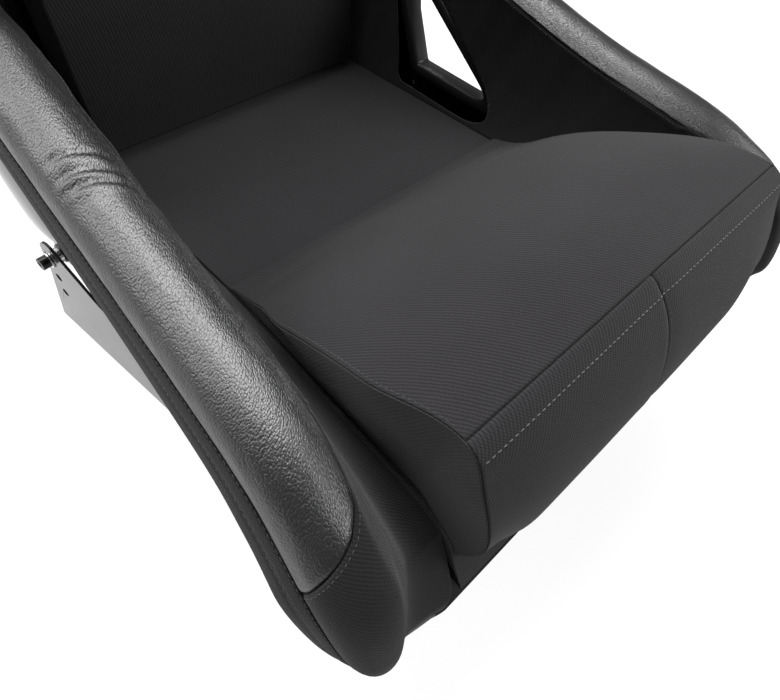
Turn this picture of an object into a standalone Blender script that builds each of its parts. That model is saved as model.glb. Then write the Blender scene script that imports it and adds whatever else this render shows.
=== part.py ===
"""Fixed-back racing seat: a one-piece gloss-black fibreglass shell with rolled rims,
knit-and-leather side bolsters, loose cushions, belt openings with moulded frames and a pair
of steel side-mount brackets with their bolts.

Frame: metres, +Z up, X across the seat, the occupant faces -Y. The brackets' feet stand on
Z = 0 and the origin is under the middle of the whole seat.

Seat coordinates: most of the seat is drawn on the seat-pad plane as (x, s, z), where s runs
forward from the crease between the pad and the lumbar cushion and z is square to the pad.
The empty "seat_frame" carries them into the world, pitched so that the thighs are raised.
"""
import math
from collections import namedtuple

import bmesh
import bpy
from mathutils import Matrix, Vector

# ---------------------------------------------------------------- driving dimensions
SEAT_PITCH = math.radians(7.0)      # pad plane against the floor, front up
CREASE_Y = 0.1169                   # world place of the pad and lumbar crease
CREASE_Z = 0.1680

GAP = 0.0005                        # clearance between pieces that touch
SHELL_THICKNESS = 0.004

PAD_SLOPE = 0.040                   # rise of the pad's top towards the front
PAD_HALF_WIDTH = 0.172
PAD_FRONT_HALF_WIDTH = 0.186
PAD_FRONT_S = 0.470                 # where the pad starts to roll over the front lip

WEDGE_REAR_S = 0.228                # thin rear edge of the thigh cushion
WEDGE_TOP_S = 0.479                 # its front top seam
WEDGE_REAR_HALF_WIDTH = 0.170
WEDGE_FRONT_HALF_WIDTH = 0.184

BACK_RECLINE = math.radians(10.0)   # back against the pad's normal
# Cushions on the back, level by level: height along the back, half-width, and where their
# rear face, front face and edge rounding lie, measured forward of the shell.
LUMBAR_LEVELS = [(-0.003, 0.155, 0.030, 0.0480, 0.006), (0.006, 0.164, 0.0115, 0.0555, 0.010),
                 (0.060, 0.166, 0.0100, 0.0640, 0.012), (0.120, 0.165, 0.0100, 0.0660, 0.012),
                 (0.190, 0.162, 0.0100, 0.0580, 0.012), (0.245, 0.159, 0.0100, 0.0450, 0.010),
                 (0.270, 0.155, 0.0130, 0.0330, 0.008)]
BACKREST_LEVELS = [(0.279, 0.152, 0.0100, 0.0260, 0.005), (0.292, 0.158, 0.0080, 0.0340, 0.008),
                   (0.380, 0.160, 0.0080, 0.0340, 0.008), (0.450, 0.158, 0.0080, 0.0320, 0.008),
                   (0.505, 0.146, 0.0080, 0.0280, 0.008), (0.522, 0.128, 0.0100, 0.0220, 0.005)]
HEADREST_LEVELS = [(0.612, 0.078, 0.0100, 0.0280, 0.005), (0.622, 0.086, 0.0080, 0.0360, 0.010),
                   (0.690, 0.080, 0.0080, 0.0380, 0.010), (0.738, 0.068, 0.0080, 0.0330, 0.010),
                   (0.750, 0.056, 0.0100, 0.0240, 0.005)]

ROLL_RADIUS = 0.0290                # leather roll on the thigh bolsters
HEM_THICKNESS = 0.0028

BOLT_X = 0.2613                     # outer face of the bracket at its rear bolt
BOLT_FORWARD = 0.0348               # rear bolt ahead of the crease
BOLT_UP = -0.0464                   # rear bolt below the crease
BRACKET_TOE = math.radians(7.4)     # the brackets close up towards the front
BRACKET_LEAN = math.radians(2.9)    # and spread slightly towards their feet
PLATE_THICKNESS = 0.003
FRONT_BOLT = (0.235, 0.044)         # front bolt from the rear one: forward, up
HOLE_PITCH = 0.025
SLOT_PLACES = (0.012, -0.228)       # floor slots along the flange, ahead of the rear bolt
SLOT_HALF_LENGTH = 0.0145
SLOT_FROM_PLATE = (0.0160, 0.0250)
HOLE_RADIUS = 0.0048
BOSS_RADIUS = 0.0160
BORE_RADIUS = 0.0044                # clearance for an 8 mm bolt

SIDES = (("left", -1.0), ("right", 1.0))

# ---------------------------------------------------------------- shell stations
# One station per row: where the shell's middle lies (s, z), half-width of the flat pan or
# back, half-width at mid height of the side, the centre of the rolled rim (x, s, z), the
# rim's radius, the length of its turned-down skirt and how far that skirt flares.
Station = namedtuple("Station", "s z foot waist rim_x rim_s rim_z rim_r skirt flare")
STATIONS = [
    Station(0.5210, -0.0490, 0.205, 0.240, 0.2640, 0.5120, -0.0300, 0.0090, 0.010, 0.001),
    Station(0.5050, -0.0365, 0.203, 0.234, 0.2655, 0.4980, -0.0060, 0.0135, 0.020, 0.005),
    Station(0.4780, -0.0320, 0.200, 0.226, 0.2620, 0.4720, 0.0400, 0.0180, 0.024, 0.008),
    Station(0.4300, -0.0370, 0.197, 0.219, 0.2545, 0.4260, 0.0640, 0.0190, 0.024, 0.008),
    Station(0.3760, -0.0430, 0.194, 0.214, 0.2490, 0.3760, 0.0770, 0.0195, 0.024, 0.007),
    Station(0.2820, -0.0570, 0.192, 0.211, 0.2430, 0.2820, 0.0905, 0.0195, 0.024, 0.006),
    Station(0.1880, -0.0660, 0.193, 0.211, 0.2390, 0.1880, 0.1105, 0.0195, 0.024, 0.004),
    Station(0.1100, -0.0700, 0.195, 0.212, 0.2360, 0.1100, 0.1330, 0.0195, 0.024, 0.003),
    Station(0.0600, -0.0705, 0.203, 0.216, 0.2370, 0.0600, 0.1500, 0.0170, 0.022, 0.002),
    Station(0.0200, -0.0700, 0.222, 0.240, 0.2440, 0.0220, 0.1620, 0.0090, 0.012, 0.001),
    Station(-0.0200, -0.0620, 0.230, 0.2515, 0.2490, -0.0120, 0.1710, 0.0070, 0.008, 0.001),
    Station(-0.0480, -0.0340, 0.228, 0.2500, 0.2500, -0.0280, 0.1810, 0.0075, 0.008, 0.001),
    Station(-0.0610, 0.0200, 0.218, 0.2440, 0.2500, -0.0390, 0.1970, 0.0080, 0.008, 0.001),
    Station(-0.0760, 0.1050, 0.206, 0.2360, 0.2490, -0.0450, 0.2220, 0.0085, 0.009, 0.001),
    Station(-0.0930, 0.2050, 0.194, 0.2280, 0.2490, -0.0440, 0.2640, 0.0090, 0.010, 0.001),
    Station(-0.1100, 0.3000, 0.187, 0.2240, 0.2500, -0.0240, 0.3220, 0.0090, 0.012, 0.001),
    Station(-0.1260, 0.3900, 0.188, 0.2280, 0.2540, 0.0020, 0.3860, 0.0090, 0.014, 0.001),
    Station(-0.1390, 0.4650, 0.186, 0.2310, 0.2560, -0.0060, 0.4540, 0.0090, 0.014, 0.001),
    Station(-0.1480, 0.5150, 0.174, 0.2160, 0.2420, -0.0480, 0.5160, 0.0085, 0.010, 0.001),
    Station(-0.1550, 0.5550, 0.158, 0.1840, 0.2080, -0.0850, 0.5600, 0.0085, 0.008, 0.001),
    Station(-0.1620, 0.5950, 0.136, 0.1560, 0.1740, -0.1030, 0.6020, 0.0085, 0.008, 0.001),
    Station(-0.1700, 0.6400, 0.114, 0.1380, 0.1550, -0.1080, 0.6440, 0.0080, 0.008, 0.001),
    Station(-0.1790, 0.6950, 0.100, 0.1270, 0.1450, -0.1200, 0.6960, 0.0080, 0.008, 0.001),
    Station(-0.1870, 0.7450, 0.086, 0.1120, 0.1310, -0.1460, 0.7450, 0.0080, 0.006, 0.001),
    Station(-0.1930, 0.7750, 0.070, 0.0930, 0.1100, -0.1700, 0.7740, 0.0080, 0.005, 0.001),
]
# Places along the stations where the shell and everything fitted to it has a section.
SECTIONS = [0.0, 0.25, 0.5, 0.75, 1.0, 1.25, 1.5, 2.0, 2.5, 3.0, 4.0, 5.0, 6.0, 7.0, 8.0, 8.5, 9.0,
            9.5, 10.0, 10.5, 11.0, 11.12, 11.5, 12.0, 12.5, 13.0, 13.5, 14.0, 14.5, 15.0, 15.5, 16.0, 16.5, 17.0,
            17.5, 18.0, 18.5, 19.0, 19.5, 20.0, 20.5, 21.0, 22.0, 22.5, 23.0, 23.5, 24.0]
THIGH_BOLSTER = (0.25, 11.0)        # first and last place of each piece
TORSO_BOLSTER = (11.12, 18.5)
HEAD_BOLSTER = (20.5, 23.5)
BASE_PAD = (0.5, 10.0)


def blend_stations(place):
    """The station at a fractional place along the list, on a smooth curve."""
    last = len(STATIONS) - 1
    low = max(0, min(int(math.floor(place)), last - 1))
    t = place - low
    picks = [STATIONS[max(0, min(low + k, last))] for k in (-1, 0, 1, 2)]
    values = []
    for before, start, end, after in zip(*picks):
        m0 = 0.5 * (end - before)
        m1 = 0.5 * (after - start)
        values.append((2 * t**3 - 3 * t**2 + 1) * start + (t**3 - 2 * t**2 + t) * m0
                      + (3 * t**2 - 2 * t**3) * end + (t**3 - t**2) * m1)
    return Station(*values)


def seat_point(x, s, z):
    """A point given in seat coordinates, in the local space of the seat frame."""
    return Vector((x, -s, z))


# ---------------------------------------------------------------- sections of the shell
# A section is drawn with points (x, rise, over): x across the seat, rise from the pan to the
# rim's centre line, and over beyond that line, square to the rim's path.
Section = namedtuple("Section", "station up out height")


def section_at(place):
    """The section at a place: its station and its two drawing directions (s, z)."""
    station = blend_stations(place)
    up = Vector((station.rim_s - station.s, station.rim_z - station.z))
    before = blend_stations(max(place - 0.4, 0.0))
    after = blend_stations(min(place + 0.4, len(STATIONS) - 1.0))
    path = Vector((after.rim_s - before.rim_s, after.rim_z - before.rim_z)).normalized()
    return Section(station, up.normalized(), Vector((path.y, -path.x)), up.length)


def on_section(section, x, rise, over):
    """The place in the seat of a point drawn on a section."""
    station = section.station
    s = station.s + section.up.x * rise + section.out.x * over
    z = station.z + section.up.y * rise + section.out.y * over
    return seat_point(x, s, z)


def bezier(points, count):
    """Points of a quadratic Bezier curve, ends included."""
    a, b, c = points
    result = []
    for k in range(count + 1):
        t = k / count
        result.append(tuple((1 - t)**2 * p + 2 * t * (1 - t) * q + t**2 * r
                            for p, q, r in zip(a, b, c)))
    return result


def side_profile(section, lift=0.0):
    """Half section from the pan's corner over the rim to the end of the skirt.

    lift moves the profile off the shell's upper face, towards the occupant."""
    station, height = section.station, section.height
    corner = min(0.026, 0.30 * height)
    radius = station.rim_r + lift
    spread_low = 0.30 * (station.waist - station.foot) + 0.5 * corner
    foot = (station.foot - 0.3 * lift, lift, 0.0)
    knee = (station.foot + 0.62 * corner - lift, lift, 0.0)
    wall_low = (station.foot + spread_low - lift, corner + lift, 0.0)
    wall_top = (station.rim_x - radius, height, 0.0)
    waist = (station.waist - lift, corner + 0.52 * (height - corner), 0.0)
    control = tuple(2 * w - 0.5 * (p + q) for w, p, q in zip(waist, wall_low, wall_top))
    profile = bezier((foot, knee, wall_low), 3)
    profile += bezier((wall_low, control, wall_top), 4)[1:]
    for k in range(1, 7):
        angle = math.pi * (1 - k / 6)
        profile.append((station.rim_x + radius * math.cos(angle), height, radius * math.sin(angle)))
    skirt_x = station.rim_x + radius
    profile.append((skirt_x + 0.5 * station.flare, height, -0.5 * station.skirt))
    profile.append((skirt_x + station.flare, height, -station.skirt))
    return profile


# ---------------------------------------------------------------- object helpers
def clear_scene():
    for obj in list(bpy.data.objects):
        bpy.data.objects.remove(obj, do_unlink=True)


def make_material(name, color, roughness, metallic=0.0):
    material = bpy.data.materials.new(name)
    material.use_nodes = True
    shader = material.node_tree.nodes["Principled BSDF"]
    shader.inputs["Base Color"].default_value = (*color, 1.0)
    shader.inputs["Roughness"].default_value = roughness
    shader.inputs["Metallic"].default_value = metallic
    return material


def make_empty(name, matrix):
    empty = bpy.data.objects.new(name, None)
    bpy.context.collection.objects.link(empty)
    empty.matrix_world = matrix
    return empty


def make_object(name, verts, faces, material, parent, smooth_angle=35.0):
    """A mesh object whose faces point outwards."""
    mesh = bpy.data.meshes.new(name)
    mesh.from_pydata([tuple(v) for v in verts], [], faces)
    bm = bmesh.new()
    bm.from_mesh(mesh)
    bmesh.ops.recalc_face_normals(bm, faces=bm.faces)
    bm.to_mesh(mesh)
    bm.free()
    mesh.shade_smooth()
    mesh.set_sharp_from_angle(angle=math.radians(smooth_angle))
    obj = bpy.data.objects.new(name, mesh)
    bpy.context.collection.objects.link(obj)
    obj.parent = parent
    if material is not None:
        mesh.materials.append(material)
    return obj


def zip_end(ring, first, turn):
    """Triangles that close a bent ring, zipped from its turn point across its two chains."""
    faces = []
    low, high = turn - 1, turn
    while low > 0 or high < len(ring) - 1:
        step_low = (ring[low - 1] - ring[high]).length if low > 0 else math.inf
        step_high = (ring[low] - ring[high + 1]).length if high < len(ring) - 1 else math.inf
        if step_low < step_high:
            faces.append((first + low, first + high, first + low - 1))
            low -= 1
        else:
            faces.append((first + low, first + high, first + high + 1))
            high += 1
    return faces


def loft(name, rings, material, parent, smooth_angle=35.0, turn=0):
    """A closed solid through rings of equal length, with flat ends.

    turn is for rings that aren't flat: the point where the outer chain meets the inner one.
    Their twisted quads are cut along the diagonal that the shell's own grid uses."""
    count = len(rings[0])
    verts = [v for ring in rings for v in ring]
    faces = []
    for r in range(len(rings) - 1):
        for k in range(count):
            a = r * count + k
            b = r * count + (k + 1) % count
            if turn:
                faces += [(a, b, a + count), (b, b + count, a + count)]
            else:
                faces.append((a, b, b + count, a + count))
    last = (len(rings) - 1) * count
    if turn:
        faces += zip_end(rings[0], 0, turn) + zip_end(rings[-1], last, turn)
    else:
        faces += [tuple(range(count)), tuple(last + k for k in range(count))]
    return make_object(name, verts, faces, material, parent, smooth_angle)


def prism(name, outline, low, high, material, parent, plane="XY"):
    """An outline of (a, b) points pushed from low to high along the plane's normal."""
    def place(a, b, c):
        return {"XY": (a, b, c), "YZ": (c, a, b), "XZ": (a, c, b)}[plane]
    rings = [[Vector(place(a, b, c)) for a, b in outline] for c in (low, high)]
    return loft(name, rings, material, parent)


def circle(radius, count, center=(0.0, 0.0)):
    return [(center[0] + radius * math.cos(2 * math.pi * k / count),
             center[1] + radius * math.sin(2 * math.pi * k / count)) for k in range(count)]


def ring_solid(name, outer, inner, low, high, material, parent, count=20):
    """A tube or washer along local Z: outer and inner radius, from low to high."""
    verts = []
    for radius, level in ((outer, low), (outer, high), (inner, high), (inner, low)):
        verts += [Vector((x, y, level)) for x, y in circle(radius, count)]
    faces = []
    for r in range(4):
        for k in range(count):
            n = (k + 1) % count
            faces.append((r * count + k, r * count + n, ((r + 1) % 4) * count + n,
                          ((r + 1) % 4) * count + k))
    return make_object(name, verts, faces, material, parent)


def as_cutter(obj):
    obj.hide_render = True
    obj.display_type = "WIRE"
    return obj


def boolean(target, tool, operation):
    modifier = target.modifiers.new(operation.lower(), "BOOLEAN")
    modifier.operation = operation
    modifier.solver = "EXACT"
    modifier.object = as_cutter(tool)


def bevel(obj, width, segments=1, angle=40.0):
    modifier = obj.modifiers.new("edge", "BEVEL")
    modifier.width = width
    modifier.segments = segments
    modifier.limit_method = "ANGLE"
    modifier.angle_limit = math.radians(angle)


# ---------------------------------------------------------------- belt openings
def rounded_outline(corners, steps=4):
    """Corner rounding of a polygon: corners are (a, b, radius)."""
    outline = []
    for k, (a, b, radius) in enumerate(corners):
        here = Vector((a, b))
        before = Vector(corners[k - 1][:2])
        after = Vector(corners[(k + 1) % len(corners)][:2])
        to_before = (before - here).normalized()
        to_after = (after - here).normalized()
        half = 0.5 * to_before.angle(to_after)
        reach = radius / math.tan(half)
        start = here + to_before * reach
        end = here + to_after * reach
        for step in range(steps + 1):
            t = step / steps
            point = (1 - t)**2 * start + 2 * t * (1 - t) * here + t**2 * end
            outline.append((point.x, point.y))
    return outline


def grow(corners, margin):
    """The same polygon with every side moved outwards by margin."""
    area = sum(corners[k - 1][0] * corners[k][1] - corners[k][0] * corners[k - 1][1]
               for k in range(len(corners)))
    turn = 1.0 if area > 0 else -1.0
    grown = []
    for k, (a, b, radius) in enumerate(corners):
        here = Vector((a, b))
        d1 = (here - Vector(corners[k - 1][:2])).normalized()
        d2 = (Vector(corners[(k + 1) % len(corners)][:2]) - here).normalized()
        n1 = Vector((d1.y, -d1.x)) * turn
        n2 = Vector((d2.y, -d2.x)) * turn
        corner = here + (n1 + n2) * margin / (1 + n1.dot(n2))
        grown.append((corner.x, corner.y, radius + max(margin, 0.0)))
    return grown


# Lap-belt window in the side wall, (s, z, corner radius), and shoulder-belt slot (x, up, r).
LAP_WINDOW = [(0.076, 0.022, 0.004), (0.196, 0.022, 0.011), (0.030, 0.136, 0.006)]
SHOULDER_SLOT = [(0.036, 0.540, 0.008), (0.114, 0.548, 0.008), (0.110, 0.584, 0.008),
                 (0.034, 0.580, 0.008)]
FRAME_BORDER = 0.013                # width of the moulded frames' flange
FRAME_WALL = 0.0025
FRAME_FLANGE = 0.003
LAP_FACE_X = 0.2010                 # inner face of the lap frame's flange
LAP_BACK_X = 0.2215                 # where its sleeve ends, outside the shell


def window_prism(name, corners, low_x, high_x, side, parent):
    outline = [(-s, z) for s, z in rounded_outline(corners)]
    return prism(name, outline, side * low_x, side * high_x, None, parent, "YZ")


def lap_frame(name, side, material, parent):
    """Moulded frame of a lap-belt window: a flange on the liner and a sleeve through the wall."""
    flange = window_prism(name, grow(LAP_WINDOW, FRAME_BORDER), LAP_FACE_X,
                          LAP_FACE_X + FRAME_FLANGE, side, parent)
    flange.data.materials.append(material)
    sleeve = window_prism(name + "_sleeve_shape", grow(LAP_WINDOW, FRAME_WALL),
                          LAP_FACE_X + 0.001, LAP_BACK_X, side, parent)
    hole = window_prism(name + "_hole_shape", LAP_WINDOW, LAP_FACE_X - 0.02,
                        LAP_BACK_X + 0.02, side, parent)
    boolean(flange, sleeve, "UNION")
    boolean(flange, hole, "DIFFERENCE")
    return flange


def back_point(x, up, depth):
    """A point over the shell's back: up along the back, depth forward of the shell."""
    s0, z0 = -0.0620, 0.0300
    s = s0 - math.sin(BACK_RECLINE) * (up - z0) + math.cos(BACK_RECLINE) * depth
    z = z0 + math.cos(BACK_RECLINE) * (up - z0) + math.sin(BACK_RECLINE) * depth
    return seat_point(x, s, z)


def back_prism(name, outline, low, high, material, parent):
    """An (x, up) outline pushed square to the back, from depth low to depth high."""
    rings = [[back_point(x, up, depth) for x, up in outline] for depth in (low, high)]
    return loft(name, rings, material, parent)


def mirrored(corners, side):
    return [(side * a, b, radius) for a, b, radius in corners]


def shoulder_frame(name, side, material, parent):
    """Moulded frame of a shoulder-belt slot in the shell's back."""
    corners = mirrored(SHOULDER_SLOT, side)
    flange = back_prism(name, rounded_outline(grow(corners, 0.008)), 0.0075, 0.0105, material, parent)
    sleeve = back_prism(name + "_sleeve_shape", rounded_outline(grow(corners, FRAME_WALL)),
                        -0.018, 0.009, None, parent)
    hole = back_prism(name + "_hole_shape", rounded_outline(corners), -0.05, 0.05, None, parent)
    boolean(flange, sleeve, "UNION")
    boolean(flange, hole, "DIFFERENCE")
    return flange


# ---------------------------------------------------------------- shell
def build_shell(material, seat, mounts):
    """The one-piece shell: a grid across every station, thickened away from the occupant."""
    rows = []
    for place in SECTIONS:
        section = section_at(place)
        half = [(section.station.foot * k / 3, 0.0, 0.0) for k in range(3)] + side_profile(section)
        full = [(-x, rise, over) for x, rise, over in reversed(half[1:])] + half
        rows.append([on_section(section, *point) for point in full])
    count = len(rows[0])
    faces = []
    for r in range(len(rows) - 1):
        for k in range(count - 1):
            a = r * count + k
            if k < count // 2:
                faces += [(a, a + 1, a + count), (a + 1, a + 1 + count, a + count)]
            else:
                faces += [(a, a + 1, a + 1 + count), (a, a + 1 + count, a + count)]
    shell = make_object("seat_shell", [v for row in rows for v in row], faces, material, seat, 50.0)
    pan_normal = shell.data.polygons[count].normal
    solidify = shell.modifiers.new("wall", "SOLIDIFY")
    solidify.thickness = SHELL_THICKNESS
    solidify.offset = -1.0 if pan_normal.z > 0 else 1.0
    solidify.use_even_offset = True
    for side_name, side in SIDES:
        opening = window_prism("lap_cut_" + side_name, grow(LAP_WINDOW, FRAME_WALL + GAP),
                               0.15, 0.32, side, seat)
        boolean(shell, opening, "DIFFERENCE")
        slot = back_prism("shoulder_cut_" + side_name,
                          rounded_outline(grow(mirrored(SHOULDER_SLOT, side), FRAME_WALL + GAP)),
                          -0.06, 0.06, None, seat)
        boolean(shell, slot, "DIFFERENCE")
    for mount in mounts:
        boss = prism(mount.name + "_boss_shape", circle(BOSS_RADIUS, 24), mount.boss_low,
                     mount.boss_high, None, mount.empty)
        bore = prism(mount.name + "_bore_shape", circle(INSERT_RADIUS + GAP, 24), mount.boss_low - 0.03,
                     mount.boss_high + 0.01, None, mount.empty)
        boolean(shell, boss, "UNION")
        boolean(shell, bore, "DIFFERENCE")
    return shell


# ---------------------------------------------------------------- padding
def pad_height(station):
    """Height of the middle pads above the shell at a station."""
    if station.s > 0.0:
        fall = max(0.0, station.s - PAD_FRONT_S) / 0.05
        return max(PAD_SLOPE * station.s - station.z - 0.026 * fall, 0.014)
    return max(0.050, -station.z)


def pad_edge(station):
    """Half-width of the middle pads at a station."""
    if station.s > 0.0:
        t = max(0.0, min(1.0, (station.s - WEDGE_REAR_S) / (PAD_FRONT_S - WEDGE_REAR_S)))
        return PAD_HALF_WIDTH + (PAD_FRONT_HALF_WIDTH - PAD_HALF_WIDTH) * t
    return min(PAD_HALF_WIDTH, station.foot - 0.016)


BOLSTER_OUTER_POINTS = 15


def bolster_ring(section, side, roll_offset, roll_radius, clearance):
    """Closed section of a bolster: liner, roll and hem outside, the shell's shape inside."""
    station, height = section.station, section.height
    edge = pad_edge(station) + 0.0015
    seam_angle = math.radians(162.0)
    end_angle = math.radians(-6.0)
    covered = station.rim_r + clearance + 0.0012
    center_x = station.rim_x + max(-roll_offset, covered - roll_radius)
    center_over = 0.004
    seam = (center_x + roll_radius * math.cos(seam_angle), height,
            center_over + roll_radius * math.sin(seam_angle))
    start = (edge, min(pad_height(station), height - 0.01), 0.0)
    control = (0.25 * start[0] + 0.75 * seam[0] + 0.004, 0.62 * start[1] + 0.38 * height, 0.0)
    outer = [(edge, 2 * GAP, 0.0)] + bezier((start, control, seam), 4)
    for k in range(1, 9):
        angle = seam_angle + (end_angle - seam_angle) * k / 8
        outer.append((center_x + roll_radius * math.cos(angle), height,
                      center_over + roll_radius * math.sin(angle)))
    inner = side_profile(section, clearance)
    hem_x, hem_rise, hem_over = inner[-1]
    outer.append((hem_x + HEM_THICKNESS, hem_rise, hem_over))
    inner = [point for point in reversed(inner) if point[0] > edge + 0.004]
    return [on_section(section, side * x, rise, over) for x, rise, over in outer + inner]


def build_bolster(name, side, span, roll_offset, roll_radius, clearance, material, seat):
    rings = [bolster_ring(section_at(place), side, roll_offset(place), roll_radius(place), clearance)
             for place in sections_between(span)]
    return loft(name, rings, material, seat, 50.0, turn=BOLSTER_OUTER_POINTS)


def ease(value, low, high):
    """0 below low, 1 above high and smooth between."""
    t = max(0.0, min(1.0, (value - low) / (high - low)))
    return t * t * (3 - 2 * t)


def thigh_roll_offset(place):
    return 0.008 + 0.010 * ease(place, 8.0, 10.0)


def thigh_roll_radius(place):
    return ROLL_RADIUS * min(1.0, 0.55 + 0.25 * place)


def torso_roll_offset(place):
    return 0.018 - 0.004 * ease(place, 16.0, 18.5)


def torso_roll_radius(place):
    return ROLL_RADIUS - 0.007 * ease(place, 16.5, 18.5)


def head_roll_offset(place):
    return 0.013


def head_roll_radius(place):
    return 0.019


def sections_between(span):
    """The places from one end of a piece to the other, both ends included."""
    first, last = span
    return [first] + [place for place in SECTIONS if first < place < last] + [last]


def rounded_ring(half_width, low, high, radius, crown=0.0):
    """A closed (x, d) outline: a slab with rounded front corners and a crowned face."""
    points = [(-half_width, low), (half_width, low)]
    flat = half_width - radius
    for k in range(4):
        angle = math.radians(30.0 * k)
        points.append((flat + radius * math.cos(angle), high - radius + radius * math.sin(angle)))
    for t in (0.5, 0.0, -0.5):
        points.append((t * flat, high + crown * (1 - t * t)))
    for k in range(4):
        angle = math.radians(90.0 + 30.0 * k)
        points.append((radius * math.cos(angle) - flat, high - radius + radius * math.sin(angle)))
    return points


def back_slab(name, levels, material, seat):
    """A cushion on the back: levels are (up, half-width, back depth, front depth, radius)."""
    rings = []
    for up, half_width, low, high, radius in levels:
        ring = rounded_ring(half_width, low, high, radius, 0.004)
        rings.append([back_point(x, up, depth) for x, depth in ring])
    return loft(name, rings, material, seat)


def build_base_pad(material, seat):
    """The fixed seat pad, from the crease to the front lip."""
    rings = []
    for place in sections_between(BASE_PAD):
        section = section_at(place)
        ring = rounded_ring(pad_edge(section.station), 2 * GAP, pad_height(section.station), 0.006)
        rings.append([on_section(section, x, rise, 0.0) for x, rise in ring])
    return loft("seat_base_pad", rings, material, seat)


def pad_surface(s):
    """Top of the seat pad in seat coordinates, rolling over the front lip."""
    fall = max(0.0, s - 0.463)
    return PAD_SLOPE * min(s, 0.470) - 14.0 * fall * fall


def build_thigh_cushion(material, seat):
    """The wedge-shaped thigh cushion, thin at its rear edge and deep at its nose."""
    under = [(s, pad_surface(s) + 0.0015) for s in (0.250, 0.350, 0.440, 0.470, 0.490, 0.504, 0.514)]
    nose = [(0.5255, -0.028), (0.5250, -0.006), (0.517, 0.030), (0.5, 0.078), (0.486, 0.112)]
    top = [(0.474, 0.1195), (0.450, 0.1190), (0.414, 0.1085), (0.364, 0.0880), (0.328, 0.0700),
           (0.290, 0.0470), (0.262, 0.0265), (0.240, 0.0165), (WEDGE_REAR_S, 0.0115)]
    profile = [(WEDGE_REAR_S + 0.004, pad_surface(WEDGE_REAR_S) + 0.0005)] + under + nose + top
    rings = []
    for across in (-1.0, -0.97, -0.5, 0.0, 0.5, 0.97, 1.0):
        inset = 0.006 if abs(across) == 1.0 else 0.0
        ring = []
        for s, z in profile:
            t = max(0.0, min(1.0, (s - WEDGE_REAR_S) / (WEDGE_TOP_S - WEDGE_REAR_S)))
            width = WEDGE_REAR_HALF_WIDTH + (WEDGE_FRONT_HALF_WIDTH - WEDGE_REAR_HALF_WIDTH) * t
            middle_s = 0.5 * (s + 0.42)
            low = pad_surface(s) + 0.0015
            middle_z = 0.5 * (max(z, low) + low) if inset else z
            ring.append(seat_point(across * width, s + (middle_s - s) * inset * 4,
                                   z + (middle_z - z) * inset * 12))
        rings.append(ring)
    return loft("thigh_support_cushion", rings, material, seat)


# ---------------------------------------------------------------- brackets and fasteners
Mount = namedtuple("Mount", "name empty boss_low boss_high")
INSERT_RADIUS = 0.0070
REAR_BOSS = (-0.0440, -0.0155)      # from and to, measured out of the plate's outer face
FRONT_BOSS = (-0.0420, -0.0131)


def bracket_matrix(side):
    """Frame of a bracket plate: local X forward along it, local Z out of its outer face."""
    forward = Vector((-side * math.sin(BRACKET_TOE), -math.cos(BRACKET_TOE), 0.0))
    level = Vector((side * math.cos(BRACKET_TOE), -math.sin(BRACKET_TOE), 0.0))
    outward = level * math.cos(BRACKET_LEAN) + Vector((0.0, 0.0, math.sin(BRACKET_LEAN)))
    across = outward.cross(forward)
    matrix = Matrix((forward, across, outward)).transposed().to_4x4()
    matrix.translation = (side * BOLT_X, CREASE_Y - BOLT_FORWARD, CREASE_Z + BOLT_UP)
    return matrix


def bracket_outline(floor):
    """Side view of the plate as (forward, up) from its rear bolt."""
    tab = 0.0155
    outline = [(-0.0320, floor), (-0.0092, -0.0200)]
    for degrees in (175, 150, 125, 100, 75, 50):
        angle = math.radians(degrees)
        outline.append((0.0062 + tab * math.cos(angle), 0.0100 + tab * math.sin(angle)))
    outline += [(0.0700, -0.0050), (0.0950, -0.0130), (0.1550, -0.0130), (0.2080, 0.0330)]
    for degrees in (140, 110, 80, 50, 20, -10):
        angle = math.radians(degrees)
        outline.append((FRONT_BOLT[0] + tab * math.cos(angle), FRONT_BOLT[1] + tab * math.sin(angle)))
    outline += [(0.2560, -0.0200), (0.2720, floor)]
    return outline


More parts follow.
